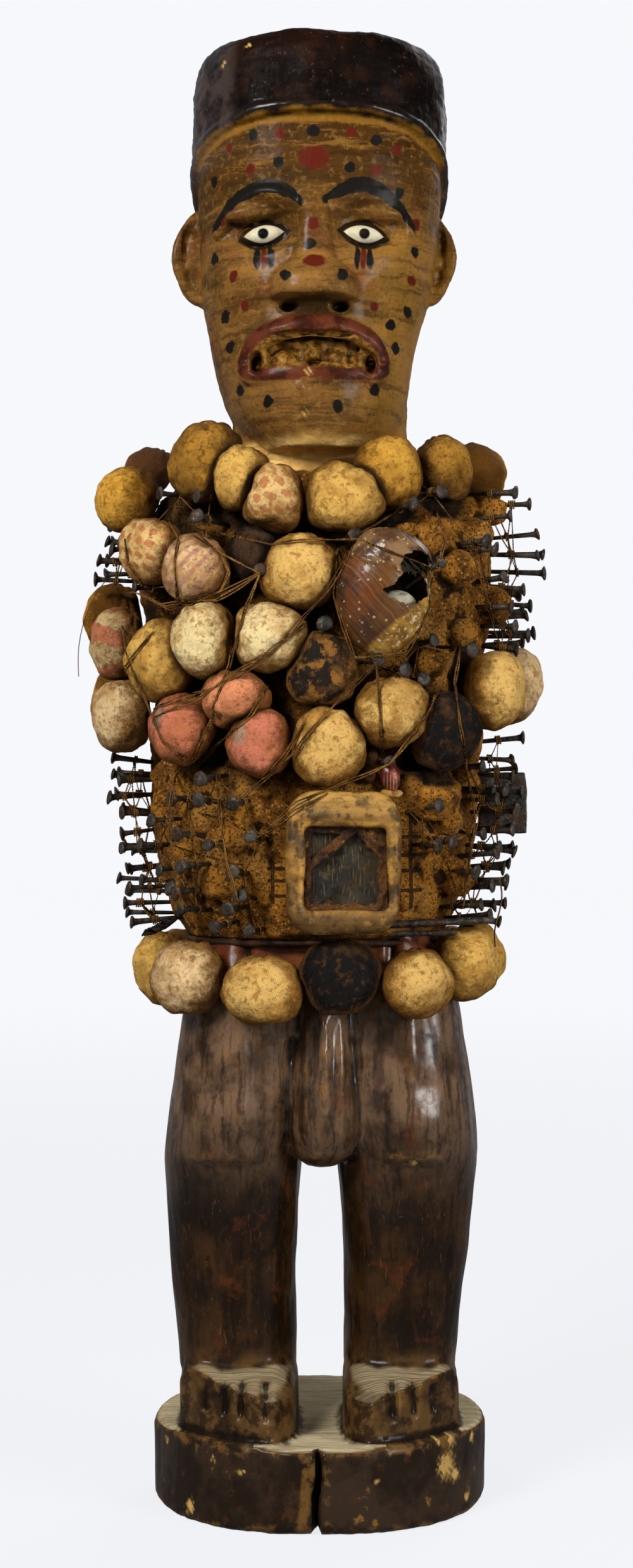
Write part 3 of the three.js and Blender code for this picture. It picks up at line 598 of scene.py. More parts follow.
def chipped(places, chips):
    bare = np.zeros(len(places))
    for centre, radius, depth in chips:
        away = np.linalg.norm(places - np.array(centre), axis=1)
        ragged = radius * (1 + 0.35 * np.sin(places[:, 0] * 1.9 + places[:, 2] * 1.3))
        struck = ease(-away, -ragged, -ragged * 0.6)
        inward = np.array((-centre[0], -centre[1], 0.0))
        places += struck[:, None] * depth * inward / max(np.linalg.norm(inward), 1)
        bare = np.maximum(bare, struck)
    return bare


bare_head = chipped(places, HEAD_CHIPS)
move_points(head_data, places)
note(head_data, "bare", bare_head)
lip_line = np.array([(point[0], point[2]) for point in lip_points])
lip_reach = np.min(np.hypot(
    places[:, :1] - lip_line[None, :, 0], places[:, 2:] - lip_line[None, :, 1],
), axis=1)
lip_full = 5.4 + 2.8 * ease(places[:, 2], 775, 795)
note(head_data, "lips", ease(-lip_reach, -lip_full, -lip_full + 1.2) * ease(-places[:, 1], 58, 70))
in_mouth = ease(-inner, -1.15, -1.0) * ease(-places[:, 1], 50, 60) * ease(places[:, 1], -93, -88)
note(head_data, "mouth", np.clip(in_mouth, 0, 1))
note_hollows(head_data)

# Legs, hips, feet and base: each leg's rows are height, inner edge, outer edge, front and back
LEGS = {
    -1: [(96, 17, 96, 50, 50), (125, 17, 98, 50, 50), (170, 17, 102, 54, 52), (210, 14, 105, 60, 52),
         (240, 12, 106, 66, 54), (265, 9, 103, 70, 58), (300, 6, 99, 73, 64), (345, 2, 93, 70, 74),
         (400, 1, 76, 60, 70)],
    1: [(96, 17, 93, 50, 50), (125, 18, 96, 50, 50), (170, 17, 101, 54, 52), (210, 14, 105, 60, 52),
        (240, 11, 108, 66, 54), (265, 8, 106, 71, 56), (300, 5, 102, 74, 64), (345, 2, 95, 70, 74),
        (400, 1, 76, 60, 70)],
}
TOE_GAPS = {-1: [36, 52, 63, 76], 1: [48, 62, 75, 83]}
body_mesh = bmesh.new()
middle = (FOOT["toe"] + FOOT["heel"]) / 2
half = (FOOT["heel"] - FOOT["toe"]) / 2
for hand, leg in LEGS.items():
    loft(body_mesh, eased([
        (z, hand * (inner + outer) / 2, 0, (outer - inner) / 2, front, back, 2.8)
        for z, inner, outer, front, back in leg
    ], 90, 2), 40)
    loft(body_mesh, eased([
        (40, hand * FOOT["x"], middle, FOOT["wide"] + 1, half - 1, half, 3.6),
        (90, hand * FOOT["x"], middle, FOOT["wide"], half - 1, half - 5, 3.6),
        (98, hand * FOOT["x"], middle, FOOT["wide"] - 3, half - 8, half - 8, 3.4),
        (102, hand * FOOT["x"], middle, FOOT["wide"] - 10, half - 20, half - 14, 3.2),
    ], 36, 1), 48)
loft(body_mesh, eased([
    (237, 3, -50, 9, 12, 10, 2), (243, 3, -50, 19, 26, 22, 2), (260, 3, -48, 24.5, 36, 26, 2),
    (300, 3, -46, 24, 38, 30, 2), (360, 3, -44, 17, 32, 30, 2),
], 40, 2), 32)
loft(body_mesh, eased([
    (325, 0, 0, 89, 68, 76, 2.5), (355, 0, 0, 86, 66, 76, 2.5), (384, 0, 0, 80, 64, 66, 2.4),
    (402, 0, 0, 72, 58, 58, 2.3), (440, 0, 0, 40, 30, 30, 2.2),
], 30, 2), 40)
loft(body_mesh, [
    (z, 0, BASE["y"], BASE["radius"] - short, BASE["radius"] - short, BASE["radius"] - short, 2.2)
    for z, short in ((0, 5), (5, 1), (BASE["height"] - 4, 0), (BASE["height"], 4))
], 72)
body_data = settled("body", body_mesh, BODY_GRAIN, 3)
places, normals = points_of(body_data)
x, y, z = places.T.copy()
side = np.abs(x)

# Feet stay inside the base's edge and fall towards the toes, which four notches part
limit = np.where(z > BASE["height"] + 1, BASE["radius"] - 6, BASE["radius"])
pull = np.where(z < 112, np.minimum(1, limit / np.hypot(x, y - BASE["y"])), 1)
places[:, 0] = x * pull
places[:, 1] = BASE["y"] + (y - BASE["y"]) * pull
places[:, 2] -= 8 * ease(-y, 42, 76) * ease(z, 76, 98) * ease(-z, -112, -104)
notch = np.zeros(len(places))
for hand, gaps in TOE_GAPS.items():
    for gap in gaps:
        notch = np.maximum(notch, near(hand * places[:, 0] - gap, 5.5, 0))
on_toes = ease(z, 70, 76) * ease(-z, -108, -100) * ease(-y, 60, 72)
places[:, 1] += 4.5 * notch * on_toes
places[:, 2] -= 1.5 * notch * on_toes * ease(z, 88, 96)

# Knees stand out in front over a hewn undercut; ridges run down the boss between the thighs,
# and the base is split at its middle
knee = near(side - 66, 34, 12) * ease(z, 237, 246) * ease(-z, -300, -262) * ease(-y, 30, 54)
places[:, 1] -= 5.5 * knee
ridge = near(side - 57, 17, 2) * ease(z, 250, 285) * ease(-z, -390, -345) * ease(-y, 30, 54)
places[:, 1] -= 3 * ridge
boss = near(x - 3, 20, 12) * ease(z, 246, 262) * ease(-z, -345, -330) * ease(-y, 60, 72)
places[:, 1] -= 1.6 * np.cos((x - 3) / 13 * 2 * math.pi) * boss
hip_groove = near(side - 48, 5, 1) * ease(z, 366, 376) * ease(-y, 20, 40)
places[:, 1] += 4 * hip_groove
split = near(x + 2 + 1.2 * np.sin(z / 9), 2.8, 0.6) * ease(-y, 58, 70) * (z < 58)
places[:, 1] += 16 * split * ease(-z, -57, -45) + 6 * split
facets = clouds(places * np.array([1, 1, 0.45]), 30, 2, 5.0)
knife = clouds(places * np.array([1, 1, 0.3]), 9, 3, 11.0)
flutes = clouds(places * np.array([1, 1, 0.12]), 12, 2, 17.0) * ease(z, 120, 150) * ease(-z, -250, -225)
strength = 1.1 * ease(z, 58, 66) + 0.5
places += normals * (strength * facets + 0.4 * knife + 0.5 * flutes)[:, None]
places[:, 2] = np.maximum(places[:, 2], 0)
BODY_CHIPS = [((78, -66, 104), 6, 0.6), ((64, -68, 243), 3.4, 0.8), ((-61, -70, 262), 2.6, 0.6)]
for chip_x, chip_z, radius in (
    (86, 38, 9.5), (92, 30, 5), (89, 54, 5), (80, 55, 3), (-88, 10, 5), (-72, 46, 3), (104, 50, 3.5),
    (-52, 40, 2.4), (38, 36, 2.4), (-105, 48, 3), (-20, 12, 2.4), (100, 12, 3),
):
    chip_y = BASE["y"] - math.sqrt(BASE["radius"] ** 2 - chip_x ** 2) - 2
    BODY_CHIPS.append(((chip_x, chip_y, chip_z), radius, 0.25 * radius))
note(body_data, "bare", chipped(places, BODY_CHIPS))
places[:, 2] = np.maximum(places[:, 2], 0)
move_points(body_data, places)
note_hollows(body_data)

figure_mesh = bmesh.new()
figure_mesh.from_mesh(head_data)
figure_mesh.from_mesh(body_data)
figure_data = bpy.data.meshes.new("figure")
figure_mesh.to_mesh(figure_data)
figure_mesh.free()
whole = len(figure_data.polygons) * 2
figure_data = reworked("carved_wood", figure_data, faces=FIGURE_FACES / whole)

wood_grain_tree, given, result = shader_group(
    "wood_grain", {"Vector": (0, 0, 0), "Along": (1.0, 1.0, 0.06), "Scale": 260.0}, ["Lines", "Pores"],
)
along = vectors("MULTIPLY", given["Vector"], given["Along"])
wire(result["Lines"], grain(along, given["Scale"], 4.0, 0.65))
wire(result["Pores"], grain(along, given["Scale"] * 3.0, 2.0, 0.5).eased(0.62, 0.72))

PAINT_RED = "561a0c"
PAINT_BLACK = "15120f"
RED_SPOTS = [
    (-61, 916), (-27, 922), (21, 923), (51, 913), (-45, 900), (37, 898), (-5, 860), (-50, 810),
    (36, 809), (64, 867), (62, 830), (-66, 868), (-58, 830),
]
BLACK_SPOTS = [
    (-44, 922), (-4, 924), (37, 918), (-71, 897), (-27, 904), (20, 900), (53, 885), (-6, 847),
    (-23, 825), (15, 825), (-63, 805), (47, 798), (50, 784), (59, 809), (-70, 845), (64, 848),
    (-53, 756), (-34, 746), (12, 741), (36, 754), (-60, 784),
]


def dab(vector, centre, half):
    """A dab of paint on the front, 1 inside an ellipse about its centre, in millimetres."""
    away = vectors("SUBTRACT", vector, (centre[0] * MM, 0, centre[1] * MM))
    away = vectors("MULTIPLY", away, (1 / (half[0] * MM), 0, 1 / (half[1] * MM)))
    return vectors("LENGTH", away, output="Value").eased(1.15, 0.8)


carved, surface, place = material("varnished_wood", specular=0.05)
across, depth, up = axes(place)
shiver = vectors("SUBTRACT", grain(place, 70.0, output="Color"), (0.5, 0.5, 0.5))
loose = vectors("ADD", place, vectors("MULTIPLY", shiver, (0.007, 0.007, 0.007)))
loose_across, _, loose_up = axes(loose)
in_front = depth.eased(-0.02, -0.045)
hollow = noted(place, "hollow")
upright = placed(wood_grain_tree, {"Vector": loose, "Along": (1.0, 1.0, 0.07), "Scale": 240.0})
level_grain = placed(wood_grain_tree, {"Vector": loose, "Along": (0.08, 0.08, 1.0), "Scale": 200.0})
brushed = grain(vectors("MULTIPLY", loose, (14.0, 14.0, 160.0)), 1.0, 5.0, 0.7)

face = coated(
    blend(mottle(place, 24.0, 0.36, 0.64), "4c300e", "765022"),
    (loose_up.eased(0.875, 0.84) * mottle(place, 18.0, 0.3, 0.6) * 0.6, "8c6230"),
    (mottle(loose, 38.0, 0.5, 0.66) * 0.7, "41300f"),
    (mottle(loose, 30.0, 0.54, 0.68) * 0.55, "70381a"),
    (loose_up.eased(0.868, 0.895) * 0.7, "341c00"),
    # Painted light: the viewer's right cheek is painted paler and warmer.
    (loose_across.eased(0.015, 0.05) * loose_up.eased(0.87, 0.85) * 0.4, "a8782c"),
    (brushed.eased(0.5, 0.62) * 0.55, "2c1c08"),
    (brushed.eased(0.46, 0.36) * 0.5, "94682a"),
    (mottle(place, 240.0, 0.52, 0.66) * 0.3, "9c7434"),
    (mottle(place, 420.0, 0.56, 0.66) * 0.45, "22150a"),
    # Painted shade under the nose, round the nostrils.
    (dab(loose, (FACE_X, 806), (27, 7)) * in_front * 0.75, "241608"),
    (noted(place, "lips"), blend(mottle(loose, 60.0, 0.4, 0.62), "5c2a18", "341509")),
)
raw = blend(mottle(place, 120.0, 0.38, 0.6), "4e300c", "94682a")
face = blend(noted(place, "mouth"), face, coated(raw, (mottle(place, 260.0, 0.5, 0.62) * 0.7, "2c1a08")))
for spots, paint in ((RED_SPOTS, PAINT_RED), (BLACK_SPOTS, PAINT_BLACK)):
    covered = in_front * 0.0
    for centre in spots:
        lean = 4.3 - 1.6 * min(abs(centre[0]) / 70, 1)
        covered = covered.math("MAXIMUM", dab(loose, centre, (lean, 3.9)))
    face = blend(covered * in_front, face, paint)
for centre, half in (((FACE_X, 906), (10, 8.4)), ((FACE_X, 834), (8, 5))):
    face = blend(dab(loose, centre, half) * in_front, face, PAINT_RED)
for hand in (-1, 1):
    reach = (loose_across - FACE_X * MM) * hand
    run = (reach - 0.0375) / 0.0305
    arch = abs(loose_up + run * 0.0065 + run * run * 0.0175 - 0.8875) / (1.15 - run * run * 0.5)
    face = blend(arch.eased(0.0050, 0.0042) * abs(run).eased(1.04, 0.97) * in_front, face, PAINT_BLACK)
    for shift, paint in ((-4.6, PAINT_BLACK), (0, PAINT_RED), (4.6, PAINT_BLACK)):
        bar = dab(loose, (FACE_X + hand * 33 + shift, 841), (2.3, 8.5))
        face = blend(bar * in_front, face, paint)
    run = ((across - FACE_X * MM) * hand - EYE["x"] * MM) / 0.0137
    eye = run * run + abs(up + run * 0.0018 - (EYE["z"] - 1) * MM) / 0.0062
    face = coated(
        face,
        (eye.eased(1.85, 1.5) * in_front, "22170b"),
        (eye.eased(1.0, 0.86) * in_front, "c9c0a2"),
        (dab(place, (FACE_X + hand * (EYE["x"] + 0.5), EYE["z"] - 1.2), (3.7, 3.7)) * in_front, "080706"),
    )

# The neck is painted very pale: painted light against the shade under the chin.
neck = blend(mottle(place, 60.0, 0.35, 0.65), "f4c878", "cc9c50")
neck = coated(neck, (level_grain["Lines"].eased(0.52, 0.62) * 0.5, "86642c"))
rim_height = loose_up + depth * CAP_SLOPE
facet = across.eased(-0.052, -0.062) * up.eased(0.9, 0.91)
cap = coated(
    blend(mottle(place, 18.0, 0.4, 0.7), "0a0402", "1a0b05"),
    # Painted sheen: a grey glint on the cap's upper left facet.
    (facet * mottle(place, 60.0, 0.4, 0.6) * 0.6, "4a3c36"),
    (mottle(loose, 45.0, 0.5, 0.68) * 0.4, "321a0c"),
    (mottle(place, 300.0, 0.62, 0.7) * 0.5, "5c4022"),
)
head = coated(
    blend(loose_up.eased(0.727, 0.718), face, neck),
    (rim_height.eased(0.8950, 0.8975) * in_front * 0.6, "94661e"),
    (rim_height.eased(0.9005, 0.9030), cap),
)
on_thighs = up.eased(0.2, 0.3)
streaks = grain(vectors("MULTIPLY", loose, (80.0, 80.0, 12.0)), 1.0, 4.0, 0.6)
dark_wood = coated(
    blend(mottle(place, 22.0, 0.38, 0.66), "180e06", "36220f"),
    # The thighs are painted paler and greyer than the shins, with pale streaks: partly the wood's own tone,
    # partly painted sheen.
    (on_thighs * 0.7, blend(mottle(place, 30.0, 0.38, 0.6), "422e1c", "806248")),
    (streaks.eased(0.5, 0.64) * 0.65, "150b05"),
    (streaks.eased(0.46, 0.34) * on_thighs * 0.25, "84664c"),
    (streaks.eased(0.44, 0.34) * up.eased(0.2, 0.16) * 0.5, "3c2712"),
    (upright["Lines"].eased(0.5, 0.64) * 0.6, "0d0703"),
    (mottle(loose, 48.0, 0.56, 0.68) * 0.55, "4e260e"),
    (upright["Pores"] * 0.22, "7a5a30"),
    (up.eased(0.362, 0.372), blend(mottle(place, 60.0, 0.4, 0.6), "54260f", "7c4424")),
    (up.eased(0.118, 0.098), blend(mottle(place, 55.0, 0.34, 0.62), "281a0c", "5a4020")),
    (up.eased(0.118, 0.098) * mottle(loose, 80.0, 0.48, 0.6) * 0.75, "150b05"),
)
base = coated(
    blend(mottle(place, 30.0, 0.4, 0.62), "1e130a", "33251a"),
    (mottle(loose, 90.0, 0.58, 0.68) * 0.55, "4a2c14"),
    (mottle(loose, 60.0, 0.66, 0.72) * 0.7, "86602a"),
)
_, _, facing_up = axes(node(place.socket.id_data, "ShaderNodeNewGeometry", output="Normal"))
dust = facing_up.eased(0.62, 0.95) * up.eased(0.2, 0.12)
floor_grain = grain(vectors("MULTIPLY", place, (22.0, 900.0, 22.0)), 1.0, 4.0)
wood = coated(
    blend(up.eased(0.45, 0.5), coated(dark_wood, (up.eased(0.058, 0.052), base)), head),
    (dust * 0.9, blend(floor_grain.eased(0.36, 0.66), "a49474", "62523a")),
    # On the base's top the dust is painted paler still: real dust, and painted light against the shade
    # between the legs.
    (dust * up.eased(0.075, 0.065) * 0.8, blend(floor_grain.eased(0.36, 0.66), "d8c8a4", "9a8a6a")),
    (hollow.eased(-0.35, -1.0) * mottle(place, 90.0, 0.45, 0.6) * 0.45, "86602c"),
    # Painted shade: near black in the wood's hollows.
    (hollow.eased(0.3, 1.1) * 0.85, "0a0502"),
    (noted(place, "bare") * mottle(place, 220.0, 0.24, 0.42), blend(upright["Lines"], "a87830", "e4c078")),
)
wire(surface["Base Color"], wood)
on_cap = rim_height.eased(0.9005, 0.9030) * up.eased(0.69, 0.72)
on_rim = on_cap * rim_height.eased(0.9110, 0.9085)
wire(surface["Roughness"], mottle(place, 40.0, 0.35, 0.7) * 0.2 + 0.42 + dust * 0.4)
on_face = up.eased(0.69, 0.72) - on_cap
on_shins = up.eased(0.24, 0.17)
shine = 0.34 - on_cap * 0.34 - on_face * (up.eased(0.87, 0.9) * 0.08 + 0.24) - on_shins * 0.18
shine = shine - dust * 0.34 + on_thighs * up.eased(0.4, 0.36) * mottle(place, 150.0, 0.4, 0.6) * 0.5
wire(surface["Coat Weight"], shine + on_rim * 0.4 + facet * 0.9)
surface["Coat Roughness"].default_value = 0.2
hewn = grain(vectors("MULTIPLY", place, (1.0, 1.0, 0.5)), 70.0, 2.0)
height = upright["Lines"] * 0.6 + level_grain["Lines"] * 0.4 - upright["Pores"] * 0.5 + hewn * 3.0
relief(surface, height, 0.5, 0.0012)
show("carved_wood_figure", figure_data, "carved_wood", carved, stands_for="carved_figure")


# The torso's crust is dry earth and resin packed round the carved body. It is granular and
# lumpy and orange brown, with near-black painted shade in its hollows and in the gaps under and between the
# bundles.
CRUST_X = -4
CRUST_KEYS = [
    (390, CRUST_X, 0, 88, 74, 74, 2.3), (405, CRUST_X, 0, 97, 80, 80, 2.3),
    (430, CRUST_X, 0, 104, 85, 85, 2.3), (460, CRUST_X, 0, 111, 89, 90, 2.3),
    (510, CRUST_X, 0, 114, 92, 93, 2.3), (565, CRUST_X, 0, 117, 92, 94, 2.3),
    (625, CRUST_X, 0, 122, 91, 94, 2.3), (665, CRUST_X, 0, 122, 84, 91, 2.3),
    (690, CRUST_X, 0, 113, 74, 84, 2.3), (702, CRUST_X, 0, 95, 62, 74, 2.3),
]
CRUST_GRAIN = 2.1 * MM
EARTH_LUMPS = [
    ((105, -48, 661), (12, 11, 13)), ((117, -30, 679), (11, 10, 10)), ((92, -68, 636), (15, 11, 14)),
    ((120, -30, 614), (12, 14, 14)), ((97, -62, 592), (13, 12, 12)), ((74, -76, 657), (10, 9, 14)),
    ((51, -84, 662), (14, 8, 10)), ((74, -78, 491), (22, 17, 24)), ((86, -68, 469), (12, 12, 11)),
    ((72, -82, 571), (12, 9, 12)), ((-105, -38, 500), (12, 12, 12)), ((-62, -78, 503), (16, 12, 12)),
    ((-104, -42, 477), (11, 12, 12)), ((-79, -66, 470), (14, 12, 12)), ((-52, -80, 458), (15, 10, 11)),
    ((-66, -66, 428), (17, 12, 15)), ((92, -50, 430), (12, 12, 14)), ((-30, -86, 474), (16, 7, 9)),
    ((60, -74, 424), (13, 10, 12)), ((96, -52, 505), (12, 10, 12)), ((-92, -54, 447), (11, 10, 10)),
]
INCISED = [
    (60, 442, 0.9, 32), (52, 442, 0.7, 26), (58, 458, 9, 0.8), (58, 446, 9, 0.8), (58, 436, 9, 0.8),
    (58, 423, 9, 0.8), (-27, 437, 7, 0.8), (-27, 429, 7, 0.8), (-27, 419, 6, 0.8), (-31, 428, 0.8, 14),
]


def middle_of(name):
    low, high = (np.array(corner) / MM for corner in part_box(name))
    return (low + high) / 2, (high - low) / 2


BUNDLE_PLACES = {name: middle_of(name) for name in sorted(frame["nodes"]) if "_bundle_" in name}


def off_bundles(places, but=None):
    """How far each place is from the nearest bundle in mm, below 0 inside one."""
    return np.min([
        (np.linalg.norm((places - centre) / half, axis=1) - 1) * half.mean()
        for name, (centre, half) in BUNDLE_PLACES.items() if name != but
    ], axis=0)


def spot(keys, azimuth, z, out):
    """A place on rounded sections, by azimuth in degrees from the front, and how far out."""
    rows = np.array(keys, dtype=float)
    x, y, wide, front, back, square = (np.interp(z, rows[:, 0], rows[:, i]) for i in range(1, 7))
    angle = math.radians(azimuth - 90)
    reach = reach_of(angle, wide, front if math.sin(angle) < 0 else back, square) + out
    return Vector((x + reach * math.cos(angle), y + reach * math.sin(angle), z))


crust_mesh = bmesh.new()
loft(crust_mesh, eased(CRUST_KEYS, 50, 1), 72)
for centre, half in EARTH_LUMPS:
    lump(crust_mesh, centre, [size * 0.95 for size in half])
crust_data = settled("crust", crust_mesh, CRUST_GRAIN, 2)
places, normals = points_of(crust_data)
# How close each place lies under or between the bundles; the crust is painted near black there as painted
# shade.
shade_reach = 24 - 8 * ease(places[:, 0], 35, 60) - 8 * ease(-places[:, 2], -500, -480)
covered = ease(-off_bundles(places), -shade_reach, -6)
box_gap = np.maximum(np.abs(places[:, 0] - 15) - 37, np.abs(places[:, 2] - 442) - 46)
box_gap = np.where(places[:, 1] < 0, box_gap, 99)
seams = []
for place_mm in places.tolist():
    nearest, _ = noise.voronoi(Vector(place_mm) / 21)
    seams.append(nearest[1] - nearest[0])
cobbled = 1.2 + 2.2 * ease(places[:, 2], 465, 500)
rough = cobbled * (np.array(seams) - 0.32) + 2.2 * clouds(places, 26, 3, 2.0)
rough += 1.1 * clouds(places, 7, 3, 6.0)
rough -= 6 * covered * (box_gap > 14)
rough += 5 * ease(-box_gap, -12, -3) * ease(-places[:, 1], 40, 60)
rough *= ease(places[:, 2], 389, 396)
places += normals * rough[:, None]
move_points(crust_data, places)
note_hollows(crust_data)
note(crust_data, "covered", covered)

speckle_tree, given, result = shader_group(
    "speckles", {"Vector": (0, 0, 0), "Scale": 900.0, "Amount": 0.35}, ["Mask"],
)
inputs = {"Vector": given["Vector"], "Scale": given["Scale"]}
cell = node(speckle_tree, "ShaderNodeTexVoronoi", inputs, "Color")
chosen = axes(cell)[0].math("LESS_THAN", given["Amount"])
wire(result["Mask"], chosen * Value(cell.socket.node.outputs["Distance"]).eased(0.62, 0.3))


def specks(vector, scale, amount):
    return placed(speckle_tree, {"Vector": vector, "Scale": scale, "Amount": amount})["Mask"]


earth, surface, place = material("earth_and_resin", 0.9, specular=0.15)
across, depth, up = axes(place)
incised = across * 0.0
for line_x, line_z, half_long, half_high in INCISED:
    here = abs(across - line_x * MM).eased((half_long + 0.5) * MM, half_long * MM)
    here = here * abs(up - line_z * MM).eased((half_high + 0.5) * MM, half_high * MM)
    incised = incised.math("MAXIMUM", here)
incised = incised * depth.eased(-0.05, -0.06)
crumbs = specks(place, 620.0, 0.4)
wire(surface["Base Color"], coated(
    blend(mottle(place, 34.0, 0.38, 0.62), "6c4210", "b07426"),
    (mottle(place, 75.0, 0.52, 0.66), "42270c"),
    (mottle(place, 20.0, 0.5, 0.62) * 0.6, "b07c36"),
    (mottle(place, 150.0, 0.56, 0.66) * 0.6, "c07c28"),
    (crumbs * 0.65, "301b09"),
    (specks(place, 480.0, 0.18) * 0.6, "d0944a"),
    # Painted shade: near black in the crust's hollows and where the bundles crowd over it.
    (noted(place, "hollow").eased(0.15, 0.9) * 0.9, "110903"),
    (noted(place, "covered") * 0.93, "0b0603"),
    (incised * 0.85, "201205"),
))
height = grain(place, 420.0, 6.0, 0.7) + crumbs * 0.5 - incised * 1.5
relief(surface, height, 1.0, 0.0028)
show("torso_earth", crust_data, "earth_crust", earth, stands_for="torso_crust")


# The belly box is hollowed from a block of wood, worn smooth and yellow along its edges.
# Rusty granular resin in its mouth holds an old dark pane.
BOX = {"x": 15, "z": 442, "wide": 37, "high": 46, "corner": 19, "front": -124, "deep": 42}
RECESS = {"x": 17, "z": 438, "half": 27, "deep": 32}
WINDOW = {"x": 15.5, "z": 438.5, "half_x": 20.5, "half_z": 21.5}


def block(bm, centre, size):
    scale = Matrix.Diagonal((*(Vector(size) * MM), 1))
    place = Matrix.Translation(Vector(centre) * MM)
    return bmesh.ops.create_cube(bm, size=1, matrix=place @ scale)["verts"]


def rounded_block(bm, centre, size, corner, rim):
    """A block whose corners, seen from the front, and whose front rim are rounded."""
    edges = {edge for vert in block(bm, centre, size) for edge in vert.link_edges}
    long_edges = [e for e in edges if abs(e.verts[0].co.y - e.verts[1].co.y) > 1e-6]
    bmesh.ops.bevel(bm, geom=long_edges, offset=corner * MM, segments=8, **ROUND)
    front_y = min(vert.co.y for vert in bm.verts)
    front = [e for e in bm.edges if all(abs(v.co.y - front_y) < 1e-6 for v in e.verts)]
    bmesh.ops.bevel(bm, geom=front, offset=rim * MM, segments=5, **ROUND)


box_mesh = bmesh.new()
rounded_block(
    box_mesh, (BOX["x"], BOX["front"] + BOX["deep"] / 2, BOX["z"]),
    (2 * BOX["wide"], BOX["deep"], 2 * BOX["high"]), BOX["corner"], 5,
)
recess_mesh = bmesh.new()
rounded_block(
    recess_mesh, (RECESS["x"], BOX["front"] + RECESS["deep"] / 2 - 5, RECESS["z"]),
    (2 * RECESS["half"], RECESS["deep"] + 10, 2 * RECESS["half"]), 4, 1,
)
box_data = reworked("box", settled("box", box_mesh), 1.4 * MM, 4, cutter=settled("recess", recess_mesh))
places, normals = points_of(box_data)
box_wave = 1.3 * clouds(places, 30, 2, 9.0) + 0.5 * clouds(places * np.array([0.35, 1, 1]), 7, 3, 4.0)
rim_of_recess = np.maximum(np.abs(places[:, 0] - RECESS["x"]), np.abs(places[:, 2] - RECESS["z"]))
crown = ease(-np.abs(rim_of_recess - 33), -9, 0) * ease(-places[:, 1], 116, 122)
places += normals * box_wave[:, None]
places[:, 1] += 1.6 * (1 - crown) * ease(-places[:, 1], 116, 122)
move_points(box_data, places)
edge_light = ease(-np.abs(rim_of_recess - 28.5), -3.2, -0.8)
note(box_data, "worn", np.maximum(edge_light, ease(-note_hollows(box_data), 0.25, 0.7)))

box_wood, surface, place = material("belly_box_wood", specular=0.25)
_, _, up = axes(place)
crosswise = placed(wood_grain_tree, {"Vector": place, "Along": (0.08, 1.0, 1.0), "Scale": 300.0})
wire(surface["Base Color"], coated(
    blend(mottle(place, 40.0, 0.35, 0.65), "553812", "86602a"),
    # Painted light and shade: paler on the box's top and darker on its bottom.
    (up.eased(0.466, 0.484) * 0.75, "c09248"),
    (up.eased(0.414, 0.404) * 0.6, "463010"),
    (crosswise["Lines"].eased(0.48, 0.64) * 0.3, "33220b"),
    (noted(place, "worn") * mottle(place, 70.0, 0.4, 0.6) * up.eased(0.404, 0.42), "b08034"),
    (mottle(place, 130.0, 0.56, 0.68) * 0.5, "a07838"),
    (mottle(place, 60.0, 0.52, 0.64) * 0.7, "2c1f0d"),
    (mottle(place, 240.0, 0.54, 0.64) * 0.55, "24170a"),
    # Painted shade in the box's hollows.
    (noted(place, "hollow").eased(0.1, 0.5) * 0.7, "180f06"),
))
wire(surface["Roughness"], mottle(place, 50.0, 0.3, 0.7) * 0.25 + 0.4)
relief(surface, crosswise["Lines"], 0.45, 0.001)
show("belly_box_carved", box_data, "box_wood", box_wood, stands_for="belly_box")

pane_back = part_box("belly_box_pane")[1][1] / MM
resin_mesh = bmesh.new()
bed = Matrix.Translation(Vector((RECESS["x"], pane_back, RECESS["z"])) * MM)
bmesh.ops.create_grid(
    resin_mesh, x_segments=66, y_segments=66, size=RECESS["half"] * MM,
    matrix=bed @ Matrix.Rotation(math.radians(90), 4, "X"),
)
resin_data = settled("resin", resin_mesh)
places, normals = points_of(resin_data)
aside, above = places[:, 0] - WINDOW["x"], places[:, 2] - WINDOW["z"]
beyond = np.maximum(np.abs(aside) - WINDOW["half_x"], np.abs(above) - WINDOW["half_z"])
beyond = np.maximum(beyond, (aside + above - 27) / 1.4) + 2.2 * clouds(places, 9, 3, 1.0)
heap = 7.5 * ease(beyond, -0.6, 2.4) + 2.4 * clouds(places, 7, 4, 5.0) * ease(beyond, 0, 4)
slope = 0.76 * (above - 7) - 0.65 * (aside + 15)
ridge = ease(-np.abs(slope), -4.6, -2.2)
heap = np.maximum(heap, 7 * ridge + 1.5 * clouds(places, 5, 3, 3.0) * ridge)
places[:, 1] = np.minimum(pane_back - heap, pane_back)
move_points(resin_data, places)
solid = bmesh.new()
solid.from_mesh(resin_data)
rim_edges = [edge for edge in solid.edges if edge.is_boundary]
risen = bmesh.ops.extrude_edge_only(solid, edges=rim_edges)["geom"]
for vert in (g for g in risen if isinstance(g, bmesh.types.BMVert)):
    vert.co.y = (BOX["front"] + RECESS["deep"]) * MM
bmesh.ops.contextual_create(solid, geom=[edge for edge in solid.edges if edge.is_boundary])
resin_data = settled("resin", solid)

rusty, surface, place = material("rusty_resin", 0.75, specular=0.25)
wire(surface["Base Color"], coated(
    blend(mottle(place, 90.0, 0.4, 0.6), "281406", "5a3612"),
    (mottle(place, 190.0, 0.58, 0.68) * 0.8, "8a6028"),
    (specks(place, 700.0, 0.4) * 0.7, "180c04"),
))
relief(surface, grain(place, 500.0, 5.0), 0.9, 0.0014)
show("belly_box_paste", resin_data, "resin", rusty, stands_for="belly_box_resin")

